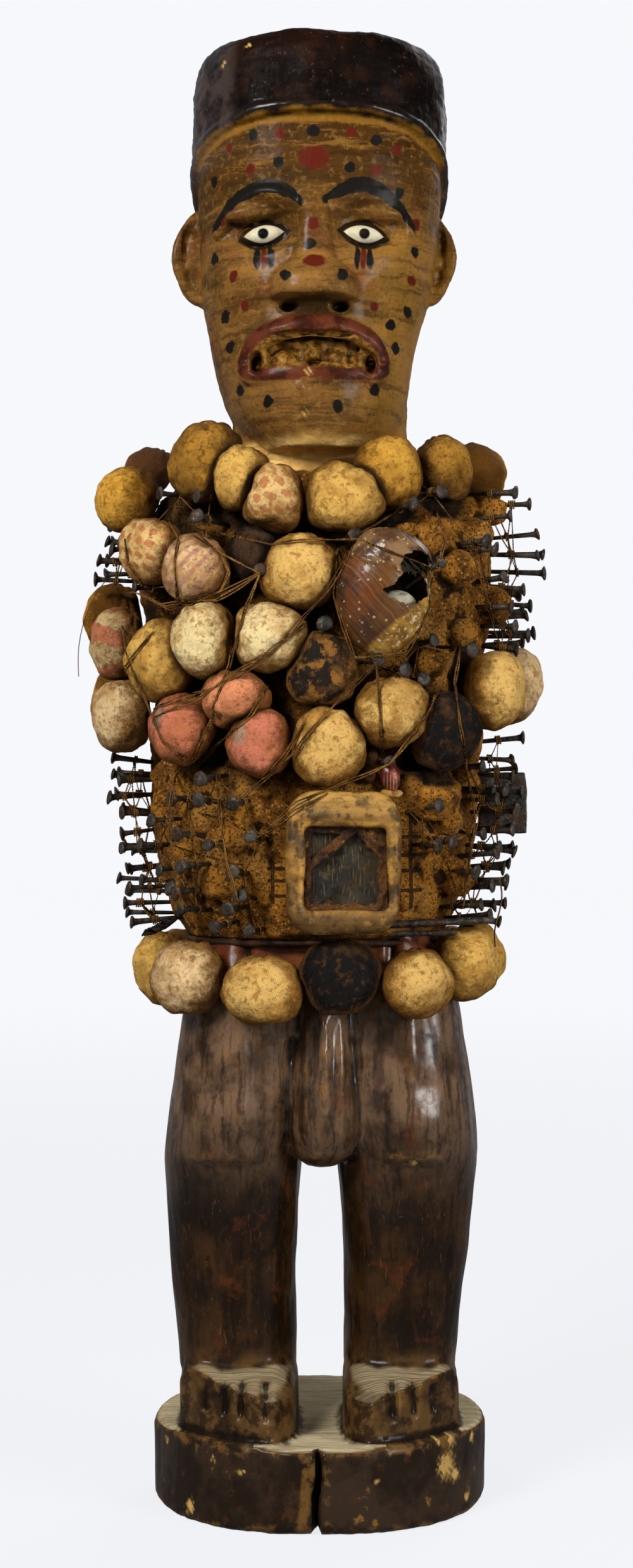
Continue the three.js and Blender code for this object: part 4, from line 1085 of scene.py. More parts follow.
dark_glass, surface, place = material("old_pane", specular=0.3)
scratches = grain(vectors("MULTIPLY", place, (900.0, 60.0, 90.0)), 1.0)
wire(surface["Base Color"], coated(
    blend(mottle(place, 60.0, 0.35, 0.65), "17120a", "332918"),
    (mottle(place, 150.0, 0.55, 0.7) * 0.6, "544020"),
    (scratches.eased(0.56, 0.68) * 0.5, "6c5e42"),
))
wire(surface["Roughness"], mottle(place, 80.0, 0.4, 0.6) * 0.4 + 0.22)
frame["nodes"]["belly_box_pane"].material_slots[0].material = dark_glass


# Cloth bundles: each is a coarse cotton rag drawn tight round a packed filling and tied at the
# back. The cloth is stained with earth and is palest on the crown, which faces out, forward and up:
# there it takes painted light, and its sides, creases and the places where bundles touch take painted shade.
BUNDLE_GRAIN = 1.6 * MM
CLOTHS = {
    "ochre": {
        "tones": ("e8ba62", "a87428", "5e3a0c"),
        "collar": (3, 5, 10), "chest": (7, 11), "waist": (1, 6, 7, 8, 10),
    },
    "deep_ochre": {"tones": ("e4ac44", "a06a18", "4c2c08"), "collar": (1, 6, 9), "chest": (5,)},
    "mottled": {"tones": ("ba8630", "6a4412", "3a2208"), "collar": (2, 7, 11)},
    "light": {"tones": ("fce8ae", "b88438", "744a12"), "chest": (8, 9)},
    "golden": {
        "tones": ("eac070", "ae7628", "6c4210"),
        "chest": (4, 16, 17, 19), "waist": (3, 5, 9),
    },
    "tan": {"tones": ("f0d09c", "aa783a", "603c14"), "chest": (12, 20), "waist": (2, 11)},
    "brown": {"tones": ("4a3420", "2a1a0e", "160c06"), "chest": (3,)},
    "black": {"tones": ("161412", "0c0a08", "6e4820"), "waist": (4,), "chest": (18,)},
    "sooty": {"tones": ("241e18", "20160c", "a06c2c"), "chest": (10,), "dusty": 1},
    "rose": {"tones": ("ee986e", "a86634", "845214"), "chest": (14,)},
    "coral": {"tones": ("d88066", "a86032", "8a5414"), "chest": (13, 15), "patch": "9a9480"},
    "checked": {"tones": ("f0cc88", "aa7630", "6c4212"), "collar": (4,), "chest": (1,), "print": "c05c44"},
    "striped": {"tones": ("f4ce9a", "b48044", "6c4214"), "chest": (2,), "print": "b87a80"},
    "banded": {"tones": ("d6ba88", "94642c", "644016"), "chest": (6,), "print": "b84c42"},
    "faded": {"tones": ("c49a70", "825430", "58381a"), "collar": (8,), "print": "ac6e64"},
}
cloth_of = {
    f"{place}_bundle_{number:02d}": name
    for name, look in CLOTHS.items() for place in ("collar", "chest", "waist")
    for number in look.get(place, ())
}

weave_tree, given, result = shader_group("cotton_weave", {"Vector": (0, 0, 0)}, ["Height"])
wander = grain(given["Vector"], 120.0, 2.0, 0.5, "Color")
wander = vectors("MULTIPLY", wander, (0.0016, 0.0016, 0.0016))
cloth_x, cloth_y, _ = axes(vectors("ADD", given["Vector"], wander))
warp, weft = (along.math("SINE") for along in (cloth_x * (math.pi / 0.0011), cloth_y * (math.pi / 0.0009)))
over = warp * weft
woven = (abs(warp) * over.eased(-0.2, 0.3)).math("MAXIMUM", abs(weft) * over.eased(0.2, -0.3))
wire(result["Height"], woven)


def waves(along, length):
    return (along * (2 * math.pi / length)).math("SINE")


def cloth(name, look):
    crown_tone, edge_tone, dirt_and_shade_tone = look["tones"]
    made, surface, place = material("cotton_" + name, 0.9, specular=0.15)
    flat = node(place.socket.id_data, "ShaderNodeUVMap", uv_map="lay")
    crown = noted(place, "crown")
    drift = grain(place, 55.0, 4.0)
    # Painted light and stains: the cloth is palest where it faces out, forward and up, and falls to the edge
    # tone on its sides.
    lit_and_clean = (crown + (drift - 0.5) * 1.0).eased(0.46, 0.96)
    base = blend(lit_and_clean, edge_tone, crown_tone)
    if "print" in look:
        bend = (drift - 0.5) * 0.012
        along, beside, _ = (part + bend for part in axes(flat))
        printed = {
            "checked": (waves(along, 0.017) * waves(beside, 0.011)).eased(0.12, 0.3),
            "striped": waves(along, 0.009).eased(0.0, 0.7),
        }.get(name, waves(beside, 0.026).eased(0.0, 0.15))
        base = blend(printed * mottle(place, 160.0, 0.25, 0.5) * 0.75, base, look["print"])
    if "patch" in look:
        away = vectors("SUBTRACT", flat, (-0.004, 0.009, 0))
        away = vectors("MULTIPLY", away, (1 / 0.007, 1 / 0.009, 0))
        base = blend(vectors("LENGTH", away, output="Value").eased(1.1, 0.9) * 0.8, base, look["patch"])
    soiled_and_shaded = noted(place, "soiled_and_shaded")
    # Grime and painted shade gather away from the crown and where the bundles touch.
    grime_and_shade = (1.0 - crown) * 1.4 + soiled_and_shaded * 0.6 + (grain(place, 130.0, 8.0, 0.7) - 0.5) * 1.6
    weave = placed(weave_tree, {"Vector": flat})["Height"]
    base = coated(
        base,
        (mottle(place, 48.0, 0.48, 0.62) * 0.55, edge_tone),
        (mottle(place, 30.0, 0.52, 0.64) * 0.4, dirt_and_shade_tone),
        (mottle(place, 210.0, 0.53, 0.66) * 0.6, dirt_and_shade_tone),
        (mottle(place, 420.0, 0.5, 0.62) * 0.45, edge_tone),
        (mottle(place, 90.0, 0.52, 0.6) * look.get("dusty", 0) * 0.8, dirt_and_shade_tone),
        (grime_and_shade.eased(0.28, 0.5) * 0.5, edge_tone),
        (grime_and_shade.eased(0.4, 0.7) * 0.85, dirt_and_shade_tone),
        (specks(place, 800.0, 0.2) * (1.25 - lit_and_clean) * 0.7, "4a260a"),
        ((1.0 - weave) * 0.45, edge_tone),
        # Painted shade: near black where bundles touch or twine presses, and in the cloth's creases.
        (soiled_and_shaded.eased(0.5, 1.0) * 0.8, "1a0d05"),
        (noted(place, "hollow").eased(0.15, 0.8) * 0.6, "1e1006"),
    )
    wire(surface["Base Color"], base)
    under = relief(surface, weave, 0.7, 0.0005)
    crumbly = grain(place, 260.0, 8.0, 0.75) * (grime_and_shade.eased(0.2, 0.7) + 0.2)
    relief(surface, crumbly, 0.9, 0.003, under)
    return made


# Lines of twine, each (x, z) in millimetres seen from the front; where one crosses a bundle
# it presses the cloth in
TWINE_LINES = [
    [(-81, 663), (-31, 648), (23, 652)], [(-84, 656), (-66, 644), (-39, 629)],
    [(-39, 629), (-68, 613), (-107, 611), (-118, 621)], [(-39, 629), (-49, 607), (-59, 566)],
    [(23, 652), (39, 644), (72, 632)], [(23, 650), (2, 614), (-31, 576), (-72, 554), (-109, 542)],
    [(39, 574), (14, 550), (-16, 513), (-55, 482)], [(45, 506), (14, 494), (-14, 480), (-41, 458)],
    [(45, 506), (72, 542), (92, 587)], [(36, 573), (38, 545), (41, 513)],
    [(12, 648), (8, 615), (23, 574), (55, 578), (72, 607), (71, 632)],
    [(-133, 599), (-127, 575), (-117, 554), (-109, 537), (-102, 520), (-85, 507)],
    [(-109, 593), (-125, 575), (-131, 567)],
    [(-108, 537), (-92, 544), (-76, 551), (-57, 563), (-35, 574), (-8, 599)],
    [(-69, 539), (-77, 522), (-85, 507)],
    [(-57, 588), (-59, 571), (-65, 554), (-70, 541), (-65, 535)],
    [(-33, 558), (-46, 537), (-65, 520), (-83, 502)], [(-10, 533), (-23, 513), (-35, 499), (-50, 483)],
    [(-8, 599), (-23, 587), (-44, 570), (-65, 556)], [(5, 487), (-17, 476), (-35, 460)],
    [(-102, 672), (-93, 653), (-95, 638), (-92, 610)],
    [(-78, 655), (-65, 643), (-60, 631), (-65, 618), (-92, 610)],
    [(-39, 630), (-65, 618), (-87, 609), (-98, 607), (-119, 618), (-137, 625)],
    [(-129, 655), (-127, 638), (-119, 625)], [(93, 587), (88, 560), (92, 530), (98, 500)],
    [(78, 676), (80, 650), (72, 620)], [(100, 650), (108, 625), (118, 602)],
    [(58, 476), (70, 462), (84, 440), (92, 420)], [(98, 500), (104, 470), (100, 440), (96, 410)],
    [(-96, 500), (-100, 470), (-96, 440), (-90, 410)], [(-68, 500), (-66, 470), (-60, 440), (-52, 412)],
    [(-80, 474), (-62, 470), (-46, 462)], [(-98, 452), (-76, 446), (-52, 440)],
]


def walk(points, pace):
    """Points at an even pace along the line through the given ones."""
    points = np.array(points, dtype=float)
    steps = np.linalg.norm(np.diff(points, axis=0), axis=1)
    reach = np.concatenate([[0], np.cumsum(steps)])
    marks = np.linspace(0, reach[-1], max(int(reach[-1] / pace), 4) + 1)
    return np.stack([np.interp(marks, reach, points[:, i]) for i in range(points.shape[1])], axis=1)


def unit(vector):
    return vector / np.linalg.norm(vector)


groove_points = np.concatenate([walk(line, 2.0) for line in TWINE_LINES])
finished_cloths = {name: cloth(name, look) for name, look in CLOTHS.items()}
slots = {row["node"]: row["material_slot"] for row in frame["record"]["subparts"]}
bundle_meshes = []
for index, (name, (centre, half)) in enumerate(BUNDLE_PLACES.items()):
    random.seed(100 + index)
    copy = bmesh.new()
    copy.from_mesh(frame["nodes"][name].data)
    bmesh.ops.remove_doubles(copy, verts=copy.verts, dist=1e-6)
    data = settled(name, copy, BUNDLE_GRAIN, 8, levels=2)
    places, normals = points_of(data)
    low, high = places.min(axis=0), places.max(axis=0)
    places = centre + (places - (low + high) / 2) * (2 * half / (high - low)) * 0.985

    # The knot sits at the back, and pleats run out from it
    outward = unit(np.array((centre[0], centre[1], 0.0)))
    sideways = np.array((-outward[1], outward[0], 0.0))
    lean = random.uniform(-0.5, 0.5)
    knot = unit(math.sin(lean) * sideways - 0.55 * outward + np.array((0, 0, math.cos(lean))))
    across_knot = unit(sideways - (sideways @ knot) * knot)
    spoke = (places - centre) / half
    spoke /= np.linalg.norm(spoke, axis=1)[:, None]
    polar = np.arccos(np.clip(spoke @ knot, -1, 1))
    turn = np.arctan2(spoke @ np.cross(knot, across_knot), spoke @ across_knot)
    folds = random.choice((7, 9, 11))
    pleat = np.abs(np.sin(turn * folds / 2 + 1.3 * clouds(spoke * 10, 9, 2, index))) - 0.5
    swell = 2.4 * clouds(places, 24, 2, index * 1.7) + 0.9 * clouds(places, 8, 3, index * 2.3)
    swell += 1.7 * pleat * ease(-polar, -1.6, -0.3) - 4 * ease(-polar, -0.35, 0)
    pressed = np.zeros(len(places))
    if centre[1] < 20:
        close = np.abs(groove_points - centre[[0, 2]]) < half[[0, 2]] + 6
        for point in groove_points[close.all(axis=1)]:
            gap = np.hypot(places[:, 0] - point[0], places[:, 2] - point[1])
            pressed = np.maximum(pressed, np.exp(-(gap / 2.2) ** 2))
        pressed *= ease(-spoke[:, 1], 0.0, 0.5)
    swell -= 1.5 * pressed
    places += spoke * swell[:, None]
    places = np.clip(places, centre - half - 1.5, centre + half + 1.5)
    move_points(data, places)
    # Closeness to the other bundles and to the twine, for painted shade with some soiling.
    soiled_and_shaded = ease(-off_bundles(places, name), -5.5, 1)
    note(data, "soiled_and_shaded", np.maximum(soiled_and_shaded, 0.35 * pressed))
    # The crown faces out, forward and up, where the cloth takes painted light.
    lit_crown_side = unit(outward + np.array((0, math.copysign(0.7, centre[1]), 0.25)))
    note(data, "crown", 0.5 + 0.5 * (spoke @ lit_crown_side))
    note_hollows(data)

    # The cloth lies flat on the crown and is drawn round from there
    tilt = random.uniform(-0.9, 0.9)
    reach = np.arccos(np.clip(spoke @ outward, -1, 1)) * half.mean() * MM
    around = np.arctan2(spoke[:, 2], spoke @ sideways) + tilt
    flat = np.stack([reach * np.cos(around), reach * np.sin(around)], axis=1)
    corners = np.empty(len(data.loops), dtype=np.int32)
    data.loops.foreach_get("vertex_index", corners)
    data.uv_layers.new(name="lay").data.foreach_set("uv", flat[corners].ravel())
    finish = finished_cloths[cloth_of[name]]
    show(name + "_cloth", data, slots[name], finish, stands_for=name)
    bundle_meshes.append(data)


# The snail shell is a large land snail's, glossy purple brown, broken open at the mouth.
# A pale older whorl crosses its top, and the break shows its chalky inside.
SHELL = {"centre": (41, -116, 616), "half": (31, 24, 41)}
SHELL_WALL = 1.8
BREAK_OUTLINE = [
    (54, 640), (52, 634), (54, 628), (48, 622), (40, 617), (47, 612), (55, 608), (61, 609), (66, 611),
    (72, 616), (78, 628), (70, 640), (62, 643),
]
shell_mesh = bmesh.new()
lump(shell_mesh, SHELL["centre"], SHELL["half"], (0.15, 0, 0.1))
lump(shell_mesh, (48, -117, 641), (26, 22, 17), (0, 0.35, 0))
shell_data = settled("shell", shell_mesh, 1.3 * MM, 6)
places, normals = points_of(shell_data)
growth = np.sin((places[:, 0] * 0.75 + places[:, 2] * 0.66) * 1.9 + clouds(places, 20, 2, 3.0))
crossing = places[:, 2] - 634 + 0.25 * (places[:, 0] - 41)
swell = 0.16 * growth + 0.5 * clouds(places, 22, 2, 7.0) - 1.1 * near(crossing, 3.2, 0)
move_points(shell_data, places + normals * swell[:, None])
random.seed(7)
prism = bmesh.new()
jagged = walk([*BREAK_OUTLINE, BREAK_OUTLINE[0]], 2.2)[:-1]
prism.faces.new([
    prism.verts.new(Vector((x + random.uniform(-0.8, 0.8), -160, z + random.uniform(-0.8, 0.8))) * MM)
    for x, z in jagged
])
pushed = bmesh.ops.extrude_face_region(prism, geom=prism.faces[:])["geom"]
for vert in (g for g in pushed if isinstance(g, bmesh.types.BMVert)):
    vert.co.y = -112 * MM
shell_data = reworked("shell", shell_data, wall=SHELL_WALL * MM, cutter=settled("break", prism))
whorl = bmesh.new()
whorl.from_mesh(shell_data)
shell_faces = len(whorl.faces)
lump(whorl, (50, -110, 606), (14, 14, 13))
whorl.to_mesh(shell_data)
whorl.free()

snail, surface, place = material("snail_shell_gloss", specular=0.2)
across, depth, up = axes(place)
slant = across * 0.75 + up * 0.66 + grain(place, 40.0) * 0.006
bands = node(place.socket.id_data, "ShaderNodeCombineXYZ", {0: slant * 600.0})
lines = grain(bands, 1.0, 4.0, 0.7)
pale = blend(mottle(place, 60.0, 0.4, 0.6), "4a3020", "80603e")
resinous = blend(mottle(place, 80.0, 0.4, 0.6), "7a5414", "ba8a34")
wire(surface["Base Color"], coated(
    blend(mottle(place, 26.0, 0.35, 0.65), "2e1a16", "5e3a18"),
    (mottle(place, 48.0, 0.5, 0.62) * 0.5, "6c3410"),
    (lines.eased(0.5, 0.68) * 0.6, "a07a3c"),
    (lines.eased(0.42, 0.3) * 0.7, "180c08"),
    ((up + across * 0.25).eased(0.6442, 0.6462), pale),
    ((across * 0.9 - up).eased(-0.556, -0.550) * 0.85, resinous),
    (specks(place, 520.0, 0.06) * 0.7, "bca478"),
    ((across * 0.9 - up).eased(-0.556, -0.550) * mottle(place, 260.0, 0.54, 0.64) * 0.8, "d8c8a0"),
))
wire(surface["Roughness"], mottle(place, 60.0, 0.4, 0.65) * 0.3 + 0.26)
surface["Coat Weight"].default_value = 0.25
surface["Coat Roughness"].default_value = 0.1
relief(surface, lines, 0.35, 0.0008)
chalk, surface, place = material("shell_inside", 0.6)
wire(surface["Base Color"], coated(
    blend(mottle(place, 50.0, 0.4, 0.6), "a89c7c", "e0d8bc"),
    (mottle(place, 130.0, 0.5, 0.65) * 0.6, "4e3c20"),
))
relief(surface, mottle(place, 200.0, 0.3, 0.7), 0.3, 0.0006)
# Painted shade: a dark brown finish for the shell's inside, where its chalky wall lies in shadow.
painted_inner_shade, surface, place = material("shell_inner_shade", 0.8, specular=0.2)
wire(surface["Base Color"], blend(mottle(place, 80.0, 0.4, 0.6), "1c120a", "3e2a16"))
shell_data.materials.clear()
show("snail_shell_broken", shell_data, "shell", snail, chalk, painted_inner_shade, stands_for="snail_shell")
shell_middle = Vector(SHELL["centre"]) * MM
# Outer faces are shell, the cut's sides and the whorl are chalk, and inward faces take the painted shade.
for face in shell_data.polygons:
    spoke = (face.center - shell_middle).normalized()
    facing = spoke.dot(face.normal)
    face.material_index = 1 if face.index >= shell_faces or -0.6 < facing < 0.13 else 2 * (facing < 0)


# Iron nails are driven into the crust all round. Hand forged, with domed uneven heads, they are
# joined by twisted brown twine that winds round their shanks.
NAIL_HEAD = 4.9
NAIL_SHANK = 2.0
TWINE_RADIUS = 0.7
TWINE_PITCH = 4.4
NAILS = {
    "nails_chest": [
        (-54, 685, 26), (-42, 686, 26), (-38, 665, 27), (-17, 629, 26), (-57, 624, 28), (3, 594, 26),
        (14, 653, 30), (34, 673, 27), (41, 637, 52), (46, 687, 27), (58, 653, 26), (38, 584, 26),
        (49, 584, 28), (20, 573, 32), (28, 569, 28), (34, 559, 26), (24, 506, 26), (-66, 655, 27),
        (33, 690, 24), (-38, 628, 30),
    ],
    "nails_left_shoulder": [
        (-80, 668, 21), (-76, 654, 20), (-82, 643, 27), (-86, 632, 30), (-88, 657, 20), (-92, 646, 21),
        (-96, 662, 20), (-100, 640, 28),
    ],
    "nails_right_shoulder": [
        (74, 690, 34), (86, 684, 34), (88, 662, 32), (60, 650, 26), (92, 640, 38), (88, 618, 30),
        (92, 598, 32), (74, 587, 27), (70, 672, 28), (82, 650, 34), (94, 652, 40), (98, 628, 25),
        (96, 612, 25), (86, 606, 28), (78, 628, 26), (66, 612, 26), (72, 600, 26), (100, 590, 32),
        (64, 628, 25), (84, 594, 30),
    ],
    "nails_left_flank": [
        (-84, 508, 27), (-82, 486, 28), (-84, 462, 22), (-80, 438, 26), (-84, 412, 33), (-104, 418, 32),
        (-100, 446, 21), (-104, 474, 20), (-100, 500, 26), (-90, 497, 28), (-88, 474, 22), (-90, 452, 23),
        (-88, 427, 31), (-76, 496, 25), (-74, 472, 24), (-74, 450, 26), (-72, 424, 29), (-94, 436, 24),
        (-92, 404, 33), (-96, 486, 27), (-78, 402, 32),
    ],
    "nails_right_flank": [
        (40, 476, 25), (41, 453, 25), (58, 462, 25), (64, 488, 25), (70, 452, 27), (68, 422, 31),
        (86, 412, 33), (86, 436, 31), (97, 464, 29), (98, 490, 29), (92, 522, 30), (96, 511, 26),
        (47, 458, 24), (58, 435, 25), (56, 504, 24), (63, 482, 26), (78, 500, 27), (80, 476, 28),
        (90, 450, 31), (92, 425, 33), (78, 462, 28), (76, 436, 30), (84, 400, 34), (90, 478, 29),
        (88, 502, 28), (74, 412, 30), (66, 490, 31), (72, 474, 32), (65, 444, 31), (74, 428, 32),
        (70, 402, 34), (82, 489, 30), (83, 450, 30), (61, 410, 30), (70, 462, 33),
    ],
    "nails_belly_left": [
        (-26, 482, 25), (-20, 457, 25), (-36, 456, 24), (-54, 470, 27), (-44, 440, 27), (-28, 434, 25),
        (-30, 412, 25), (-48, 424, 27), (-38, 481, 25), (-48, 484, 24), (-45, 459, 24), (-54, 438, 25),
        (-26, 417, 24), (-52, 421, 26), (-47, 409, 27), (-36, 402, 28), (-24, 397, 28), (-34, 499, 30),
        (-62, 452, 26), (-64, 428, 28),
    ],
    "nails_back": [
        (150, 640, 26), (172, 610, 26), (202, 630, 26), (216, 570, 26), (182, 540, 26), (160, 585, 24),
        (190, 575, 25), (228, 610, 25), (135, 600, 25), (168, 650, 24), (215, 510, 24), (150, 520, 24),
        (176, 490, 25), (200, 460, 25), (140, 460, 25), (228, 470, 25), (165, 430, 25),
    ],
}
LEANING_NAIL = {"row": (41, 637, 52), "root": (58, -112, 622), "tip": (79, -124, 637)}


def forged_nail(bm, root, tip, head, shank):
    """One nail: a square tapering shank with a domed, uneven head, from root to tip."""
    way = tip - root
    long = way.length
    outline = [
        (0, -3), (shank * 0.7, -3), (shank, long - 6), (shank * 1.25, long - 3.2), (head * 0.75, long - 2.4),
        (head, long - 1.5), (head * 0.94, long - 0.6), (head * 0.55, long - 0.1), (0, long),
    ]
    verts = [bm.verts.new((reach, 0, up)) for reach, up in outline]
    edges = [bm.edges.new(pair) for pair in zip(verts, verts[1:])]
    bmesh.ops.spin(
        bm, geom=verts + edges, cent=(0, 0, 0), axis=(0, 0, 1), angle=2 * math.pi, steps=10, use_merge=True,
    )
    uneven = random.uniform(0.8, 1.15)
    lean_x, lean_y = random.uniform(-0.22, 0.22), random.uniform(-0.22, 0.22)
    turned = way.to_track_quat("Z", "Y").to_matrix()
    for vert in (v for v in bm.verts if not v.tag):
        vert.tag = True
        if vert.co.z > long - 2.9:
            angle = math.atan2(vert.co.y, vert.co.x)
            vert.co.x *= uneven * (1 + 0.12 * math.sin(3 * angle + uneven * 9))
            vert.co.y *= 1 + 0.1 * math.cos(2 * angle + uneven * 5)
            vert.co.z += vert.co.x * lean_x + vert.co.y * lean_y
        else:
            vert.co.x *= 1 + 0.12 * math.sin(vert.co.z * 0.9)
        vert.co = (root + turned @ vert.co) * MM


# The twine's section is two-lobed, so that turning it along the way lays two plies
SECTION_POINTS = 8
section_data = bpy.data.curves.new("twine_section", "CURVE")
section_data.dimensions = "2D"
section_line = section_data.splines.new("POLY")
section_line.points.add(SECTION_POINTS - 1)
for index, point in enumerate(section_line.points):
    angle = 2 * math.pi * index / SECTION_POINTS
    reach = TWINE_RADIUS * MM * (0.66 + 0.44 * abs(math.cos(angle)))
    point.co = (reach * math.cos(angle), reach * math.sin(angle), 0, 1)
section_line.use_cyclic_u = True
section = bpy.data.objects.new("twine_section", section_data)
bpy.context.collection.objects.link(section)


def twisted(name, paths):
    """A mesh of two-ply twine along paths of points in millimetres, each with its thickness."""
    data = bpy.data.curves.new(name, "CURVE")
    data.dimensions = "3D"
    data.bevel_mode = "OBJECT"
    data.bevel_object = section
    data.use_fill_caps = True
    for points, thickness in paths:
        points = np.array(points)
        steps = np.linalg.norm(np.diff(points, axis=0), axis=1)
        gone = np.concatenate([[0], np.cumsum(steps)])
        line = data.splines.new("POLY")
        line.points.add(len(points) - 1)
        for point, at, far in zip(line.points, points, gone.tolist()):
            point.co = (*(at * MM), 1)
            point.tilt = far / TWINE_PITCH * 2 * math.pi
            point.radius = thickness * (1 + 0.08 * math.sin(far * 0.7))
    holder = bpy.data.objects.new(name, data)
    bpy.context.collection.objects.link(holder)
    depsgraph = bpy.context.evaluated_depsgraph_get()
    finished = bpy.data.meshes.new_from_object(holder.evaluated_get(depsgraph))
    bpy.data.objects.remove(holder)
    return finished


random.seed(21)
nail_meshes = {}
driven = {}
for group, rows in NAILS.items():
    group_mesh = bmesh.new()
    driven[group] = []
    for row in rows:
        azimuth, z, out = row
        root = spot(CRUST_KEYS, azimuth, z, -2)
        sway = Vector((random.uniform(-2, 2), random.uniform(-2, 2), random.uniform(-3.5, 3.5)))
        tip = spot(CRUST_KEYS, azimuth, z, out) + sway
        if row == LEANING_NAIL["row"]:
            root, tip = Vector(LEANING_NAIL["root"]), Vector(LEANING_NAIL["tip"])
        size = random.uniform(0.86, 1.12)
        forged_nail(group_mesh, root, tip, NAIL_HEAD * size, NAIL_SHANK * random.uniform(0.8, 1.1))
        driven[group].append((root, tip))
    bmesh.ops.remove_doubles(group_mesh, verts=group_mesh.verts, dist=1e-7)
    nail_meshes[group] = settled(group, group_mesh)

cover = bmesh.new()
for data in [crust_data, box_data, shell_data, *bundle_meshes, *nail_meshes.values()]:
    cover.from_mesh(data)
cover_tree = BVHTree.FromBMesh(cover)
cover.free()


def draped(line, apart):
    """A taut line over the front of everything: it bridges hollows and rests on what stands out."""
    marks = walk(line, 1.6)
    marks += apart * np.sin(np.arange(len(marks)) / 9)[:, None] * np.array((1.4, -1.4))
    skin = np.full(len(marks), np.nan)
    for index, (x, z) in enumerate(marks):
        hit = cover_tree.ray_cast(Vector((x, -300, z)) * MM, Vector((0, 1, 0)))
        if hit[0] is not None:
            skin[index] = hit[0].y / MM
    known = np.flatnonzero(~np.isnan(skin))
    skin = np.interp(np.arange(len(skin)), known, skin[known]) - TWINE_RADIUS * 0.9
    taut = skin.copy()
    for _ in range(500):
        taut[1:-1] = np.minimum(skin[1:-1], (taut[:-2] + taut[2:]) / 2)
    wander = np.cumsum([random.uniform(-0.14, 0.14) for _ in marks])
    wander -= np.linspace(wander[0], wander[-1], len(wander))
    return np.stack([marks[:, 0] + wander, taut, marks[:, 1] + 0.7 * wander], axis=1)


def winding(root, tip, start, turns, radius):
    way = (tip - root).normalized()
    side = way.orthogonal().normalized()
    other = way.cross(side)
    points = []
    for index in range(int(turns * 10) + 1):
        angle = index / 10 * 2 * math.pi
        along = start + index / 10 * TWINE_RADIUS * 1.8
        points.append(root + way * along + (side * math.cos(angle) + other * math.sin(angle)) * radius)
    return points


def hung(first, second, slack):
    """A slightly slack strand between two places, kept outside the crust."""
    points = []
    count = max(int((second - first).length / 1.6), 4)
    for index in range(count + 1):
        share = index / count
        point = first.lerp(second, share)
        point.z -= slack * 4 * share * (1 - share)
        azimuth = math.degrees(math.atan2(point.y, point.x - CRUST_X)) + 90
        skin = spot(CRUST_KEYS, azimuth, max(min(point.z, 700), 391), 3.0)
        if math.hypot(point.x - CRUST_X, point.y) < math.hypot(skin.x - CRUST_X, skin.y):
            point.x, point.y = skin.x, skin.y
        points.append(point)
    return points


iron, surface, place = material("forged_iron", metallic=0.45, specular=0.4)
wire(surface["Base Color"], coated(
    blend(mottle(place, 160.0, 0.35, 0.65), "1c1814", "48423a"),
    (mottle(place, 90.0, 0.5, 0.64) * 0.7, "462812"),
    (mottle(place, 420.0, 0.56, 0.68) * 0.6, "766c60"),
))
wire(surface["Roughness"], mottle(place, 200.0, 0.4, 0.6) * 0.3 + 0.42)
relief(surface, grain(place, 700.0, 4.0), 0.6, 0.0008)

string, surface, place = material("brown_twine", 0.9, specular=0.12)
wire(surface["Base Color"], coated(
    blend(mottle(place, 45.0, 0.38, 0.62), "4e3216", "80582a"),
    (mottle(place, 260.0, 0.5, 0.66) * 0.6, "a87c40"),
    (mottle(place, 30.0, 0.5, 0.64) * 0.5, "20130a"),
))
relief(surface, grain(place, 1500.0), 0.6, 0.0006)

for group, nails in driven.items():
    strands = []
    for line in TWINE_LINES if group == "nails_chest" else ():
        for apart in (0, 1) if len(line) > 2 else (0,):
            strands.append((draped(line, apart), random.uniform(0.7, 1.0)))
    grips = []
    for root, tip in nails:
        long = (tip - root).length
        start = long * random.uniform(0.3, 0.6)
        strands.append((winding(root, tip, start, random.uniform(1.6, 4.2), NAIL_SHANK + 0.7), 0.85))
        grips.append(root.lerp(tip, min(start / long + 0.05, 0.85)))
    for index, grip in enumerate(grips):
        by_distance = sorted(range(len(grips)), key=lambda other: (grips[other] - grip).length)
        for other in by_distance[1:4]:
            if other > index or random.random() < 0.35:
                if 6 < (grips[other] - grip).length < 46:
                    strand = hung(grip, grips[other], random.uniform(0.3, 3.0))
                    strands.append((strand, random.uniform(0.6, 0.95)))
    lashed = bmesh.new()
    lashed.from_mesh(nail_meshes[group])
    iron_faces = len(lashed.faces)
    lashed.from_mesh(twisted(group, strands))
    lashed_data = settled(group, lashed)
    show(group + "_lashed", lashed_data, "nail_iron", iron, string, stands_for=group)
    for face in lashed_data.polygons:
        face.material_index = int(face.index >= iron_faces)


# The hoop is a thin strip of wood bent round the waist under the crust.
hoop_mesh = bmesh.new()
hoop_points = []
for angle in np.linspace(0, 2 * math.pi, 96, endpoint=False):
    reach = reach_of(angle, 87, 72 if angle < math.pi else 74, 2.3)
    hoop_points.append((
        reach * math.cos(angle) - 2, -reach * math.sin(angle), 387.3 + 0.5 * math.sin(5 * angle), 2.6, 2.2,
    ))
roll(hoop_mesh, hoop_points, closed=True)
bent_wood, surface, place = material("bent_wood", 0.65, specular=0.25)
strips = vectors("MULTIPLY", place, (1.0, 1.0, 12.0))
wire(surface["Base Color"], coated(
    blend(mottle(place, 60.0, 0.35, 0.65), "261609", "56381a"),
    (mottle(strips, 60.0, 0.5, 0.62) * 0.5, "120a05"),
))
relief(surface, mottle(place, 300.0, 0.3, 0.7), 0.4)
show("waist_hoop_strip", settled("hoop", hoop_mesh), "hoop_wood", bent_wood, stands_for="waist_hoop")


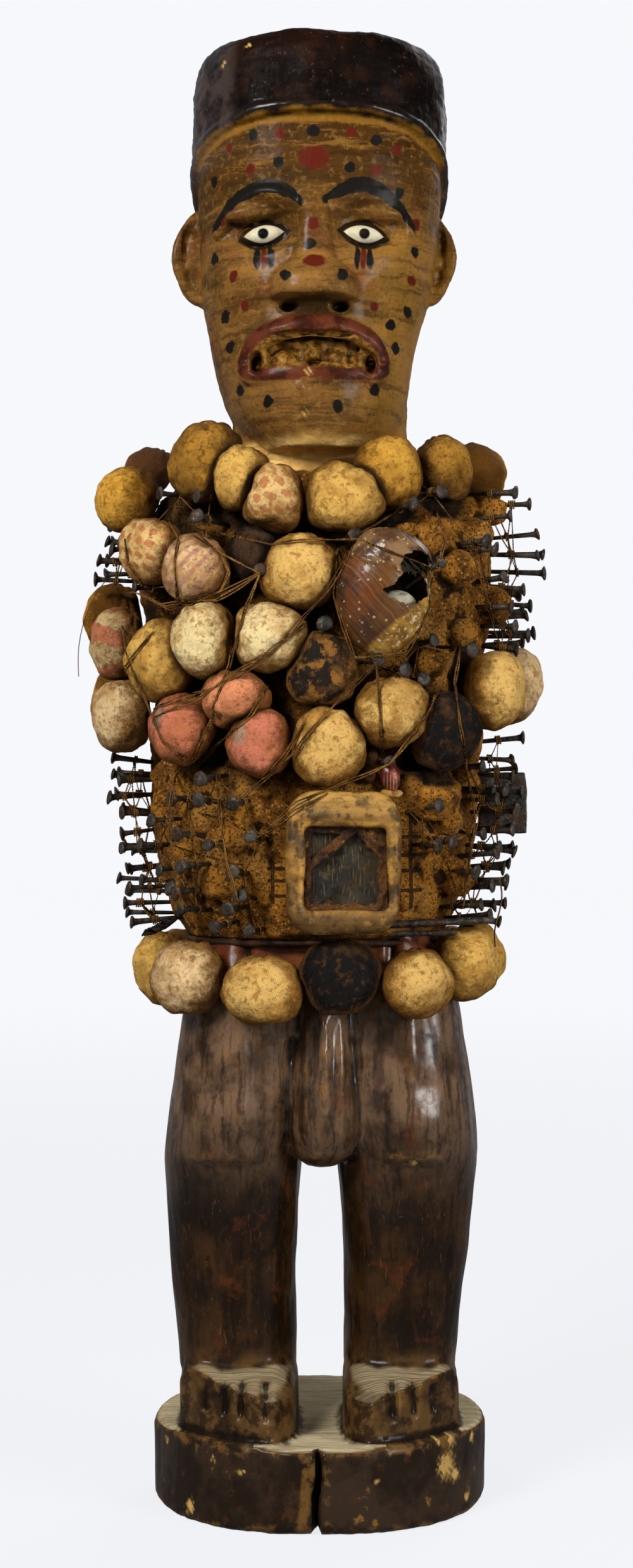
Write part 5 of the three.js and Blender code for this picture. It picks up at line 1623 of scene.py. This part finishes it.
# The iron plate is an old blade driven in at the flank, and two rusty rods lie under the
# crust at the hip.
RODS = {
    "iron_rod_long": {"ends": ((46, -75.5, 400), (116, -60, 402)), "radius": 2.5},
    "iron_rod_short": {"ends": ((40, -71.2, 393.5), (90, -70, 394)), "radius": 2.0},
}
plate_middle, plate_half = middle_of("iron_plate")
plate_mesh = bmesh.new()
block(plate_mesh, plate_middle, plate_half * 2)
bmesh.ops.bevel(plate_mesh, geom=plate_mesh.edges[:], offset=0.7 * MM, segments=2, **ROUND)
plate_data = settled("plate", plate_mesh, 0.9 * MM, 1)
places, normals = points_of(plate_data)
places += normals * (0.35 * clouds(places, 9, 4, 2.0))[:, None]
places[:, 0] -= 1.5 * ease(places[:, 0] + 0.4 * places[:, 2], 338, 344)
move_points(plate_data, places)
show("iron_blade", plate_data, "plate_iron", iron, stands_for="iron_plate")
for name, rod in RODS.items():
    first, last = (Vector(end) for end in rod["ends"])
    rod_points = []
    for t in np.linspace(0, 1, 24):
        thick = [rod["radius"] * (1 + 0.08 * wave) for wave in (math.sin(13 * t), math.cos(17 * t))]
        rod_points.append((*first.lerp(last, t), *thick))
    rod_mesh = bmesh.new()
    roll(rod_mesh, rod_points)
    show(name + "_rusty", settled(name, rod_mesh), "rod_iron", iron, stands_for=name)


# The tuft at the hip is a hank of black twisted plant fibre with a few loose ends.
random.seed(33)
tuft_middle, tuft_half = middle_of("fibre_tuft")
start = Vector(tuft_middle + tuft_half * (-1, 0, -1)) + Vector((1, 0, 4))
stop = Vector(tuft_middle + tuft_half * (1, 0, 1)) - Vector((2, 0, 4))
tuft_paths = []
for _ in range(26):
    lane = random.uniform(0, 2 * math.pi)
    wide = 5.5 * math.sqrt(random.random())
    points = []
    for t in np.linspace(0, 1, 14):
        angle = lane + 5 * t
        swing = wide * (0.35 + 0.65 * math.sin(math.pi * min(t + 0.1, 1)))
        off = Vector((0.5 * math.sin(angle), math.cos(angle), 0.8 * math.sin(angle))) * swing
        points.append(start.lerp(stop, t) + off - Vector((0, 0, 2 * math.sin(math.pi * t))))
    tuft_paths.append((points, random.uniform(0.6, 1.5)))
black_fibre, surface, place = material("black_plant_fibre", 0.7, specular=0.25)
wire(surface["Base Color"], blend(mottle(place, 120.0, 0.35, 0.65), "0b0906", "241a10"))
relief(surface, mottle(place, 900.0, 0.3, 0.7), 0.5, 0.0005)
hank = twisted("fibre_hank", tuft_paths)
show("fibre_hank", hank, "black_fibre", black_fibre, stands_for="fibre_tuft")
bpy.data.objects.remove(section)


# Small charms are tied in beside the belly box: a pod, a red seed and a chip of wood.
seed_skin, surface, place = material("red_seed", 0.35)
across, depth, up = axes(place)
slits = abs((across * 1500.0).math("SINE")).eased(0.3, 0.12) * up.eased(0.500, 0.498)
husk = blend(mottle(place, 120.0, 0.4, 0.6), "4a150b", "8a3a20")
wire(surface["Base Color"], coated(husk, (slits * 0.6, "c8b090")))
CHARMS = {
    "pod": {"at": (33, -96, 504), "half": (5.5, 5, 12), "lean": 0.1, "rough": 1.2, "slot": "resin"},
    "seed": {"at": (46, -98, 498), "half": (6.5, 5.5, 10), "lean": -0.2, "rough": 0.4, "slot": "resin"},
    "chip": {"at": (47, -97, 487), "half": (8, 3, 3), "lean": 0.0, "rough": 0.9, "slot": "box_wood"},
}
for finish, (name, charm) in zip((rusty, seed_skin, box_wood), CHARMS.items()):
    charm_mesh = bmesh.new()
    lump(charm_mesh, charm["at"], charm["half"], (0, charm["lean"], 0))
    charm_data = settled(name, charm_mesh, 0.9 * MM, 1)
    places, normals = points_of(charm_data)
    move_points(charm_data, places + normals * (charm["rough"] * clouds(places, 5, 3, 4.0))[:, None])
    show("charm_" + name, charm_data, charm["slot"], finish)
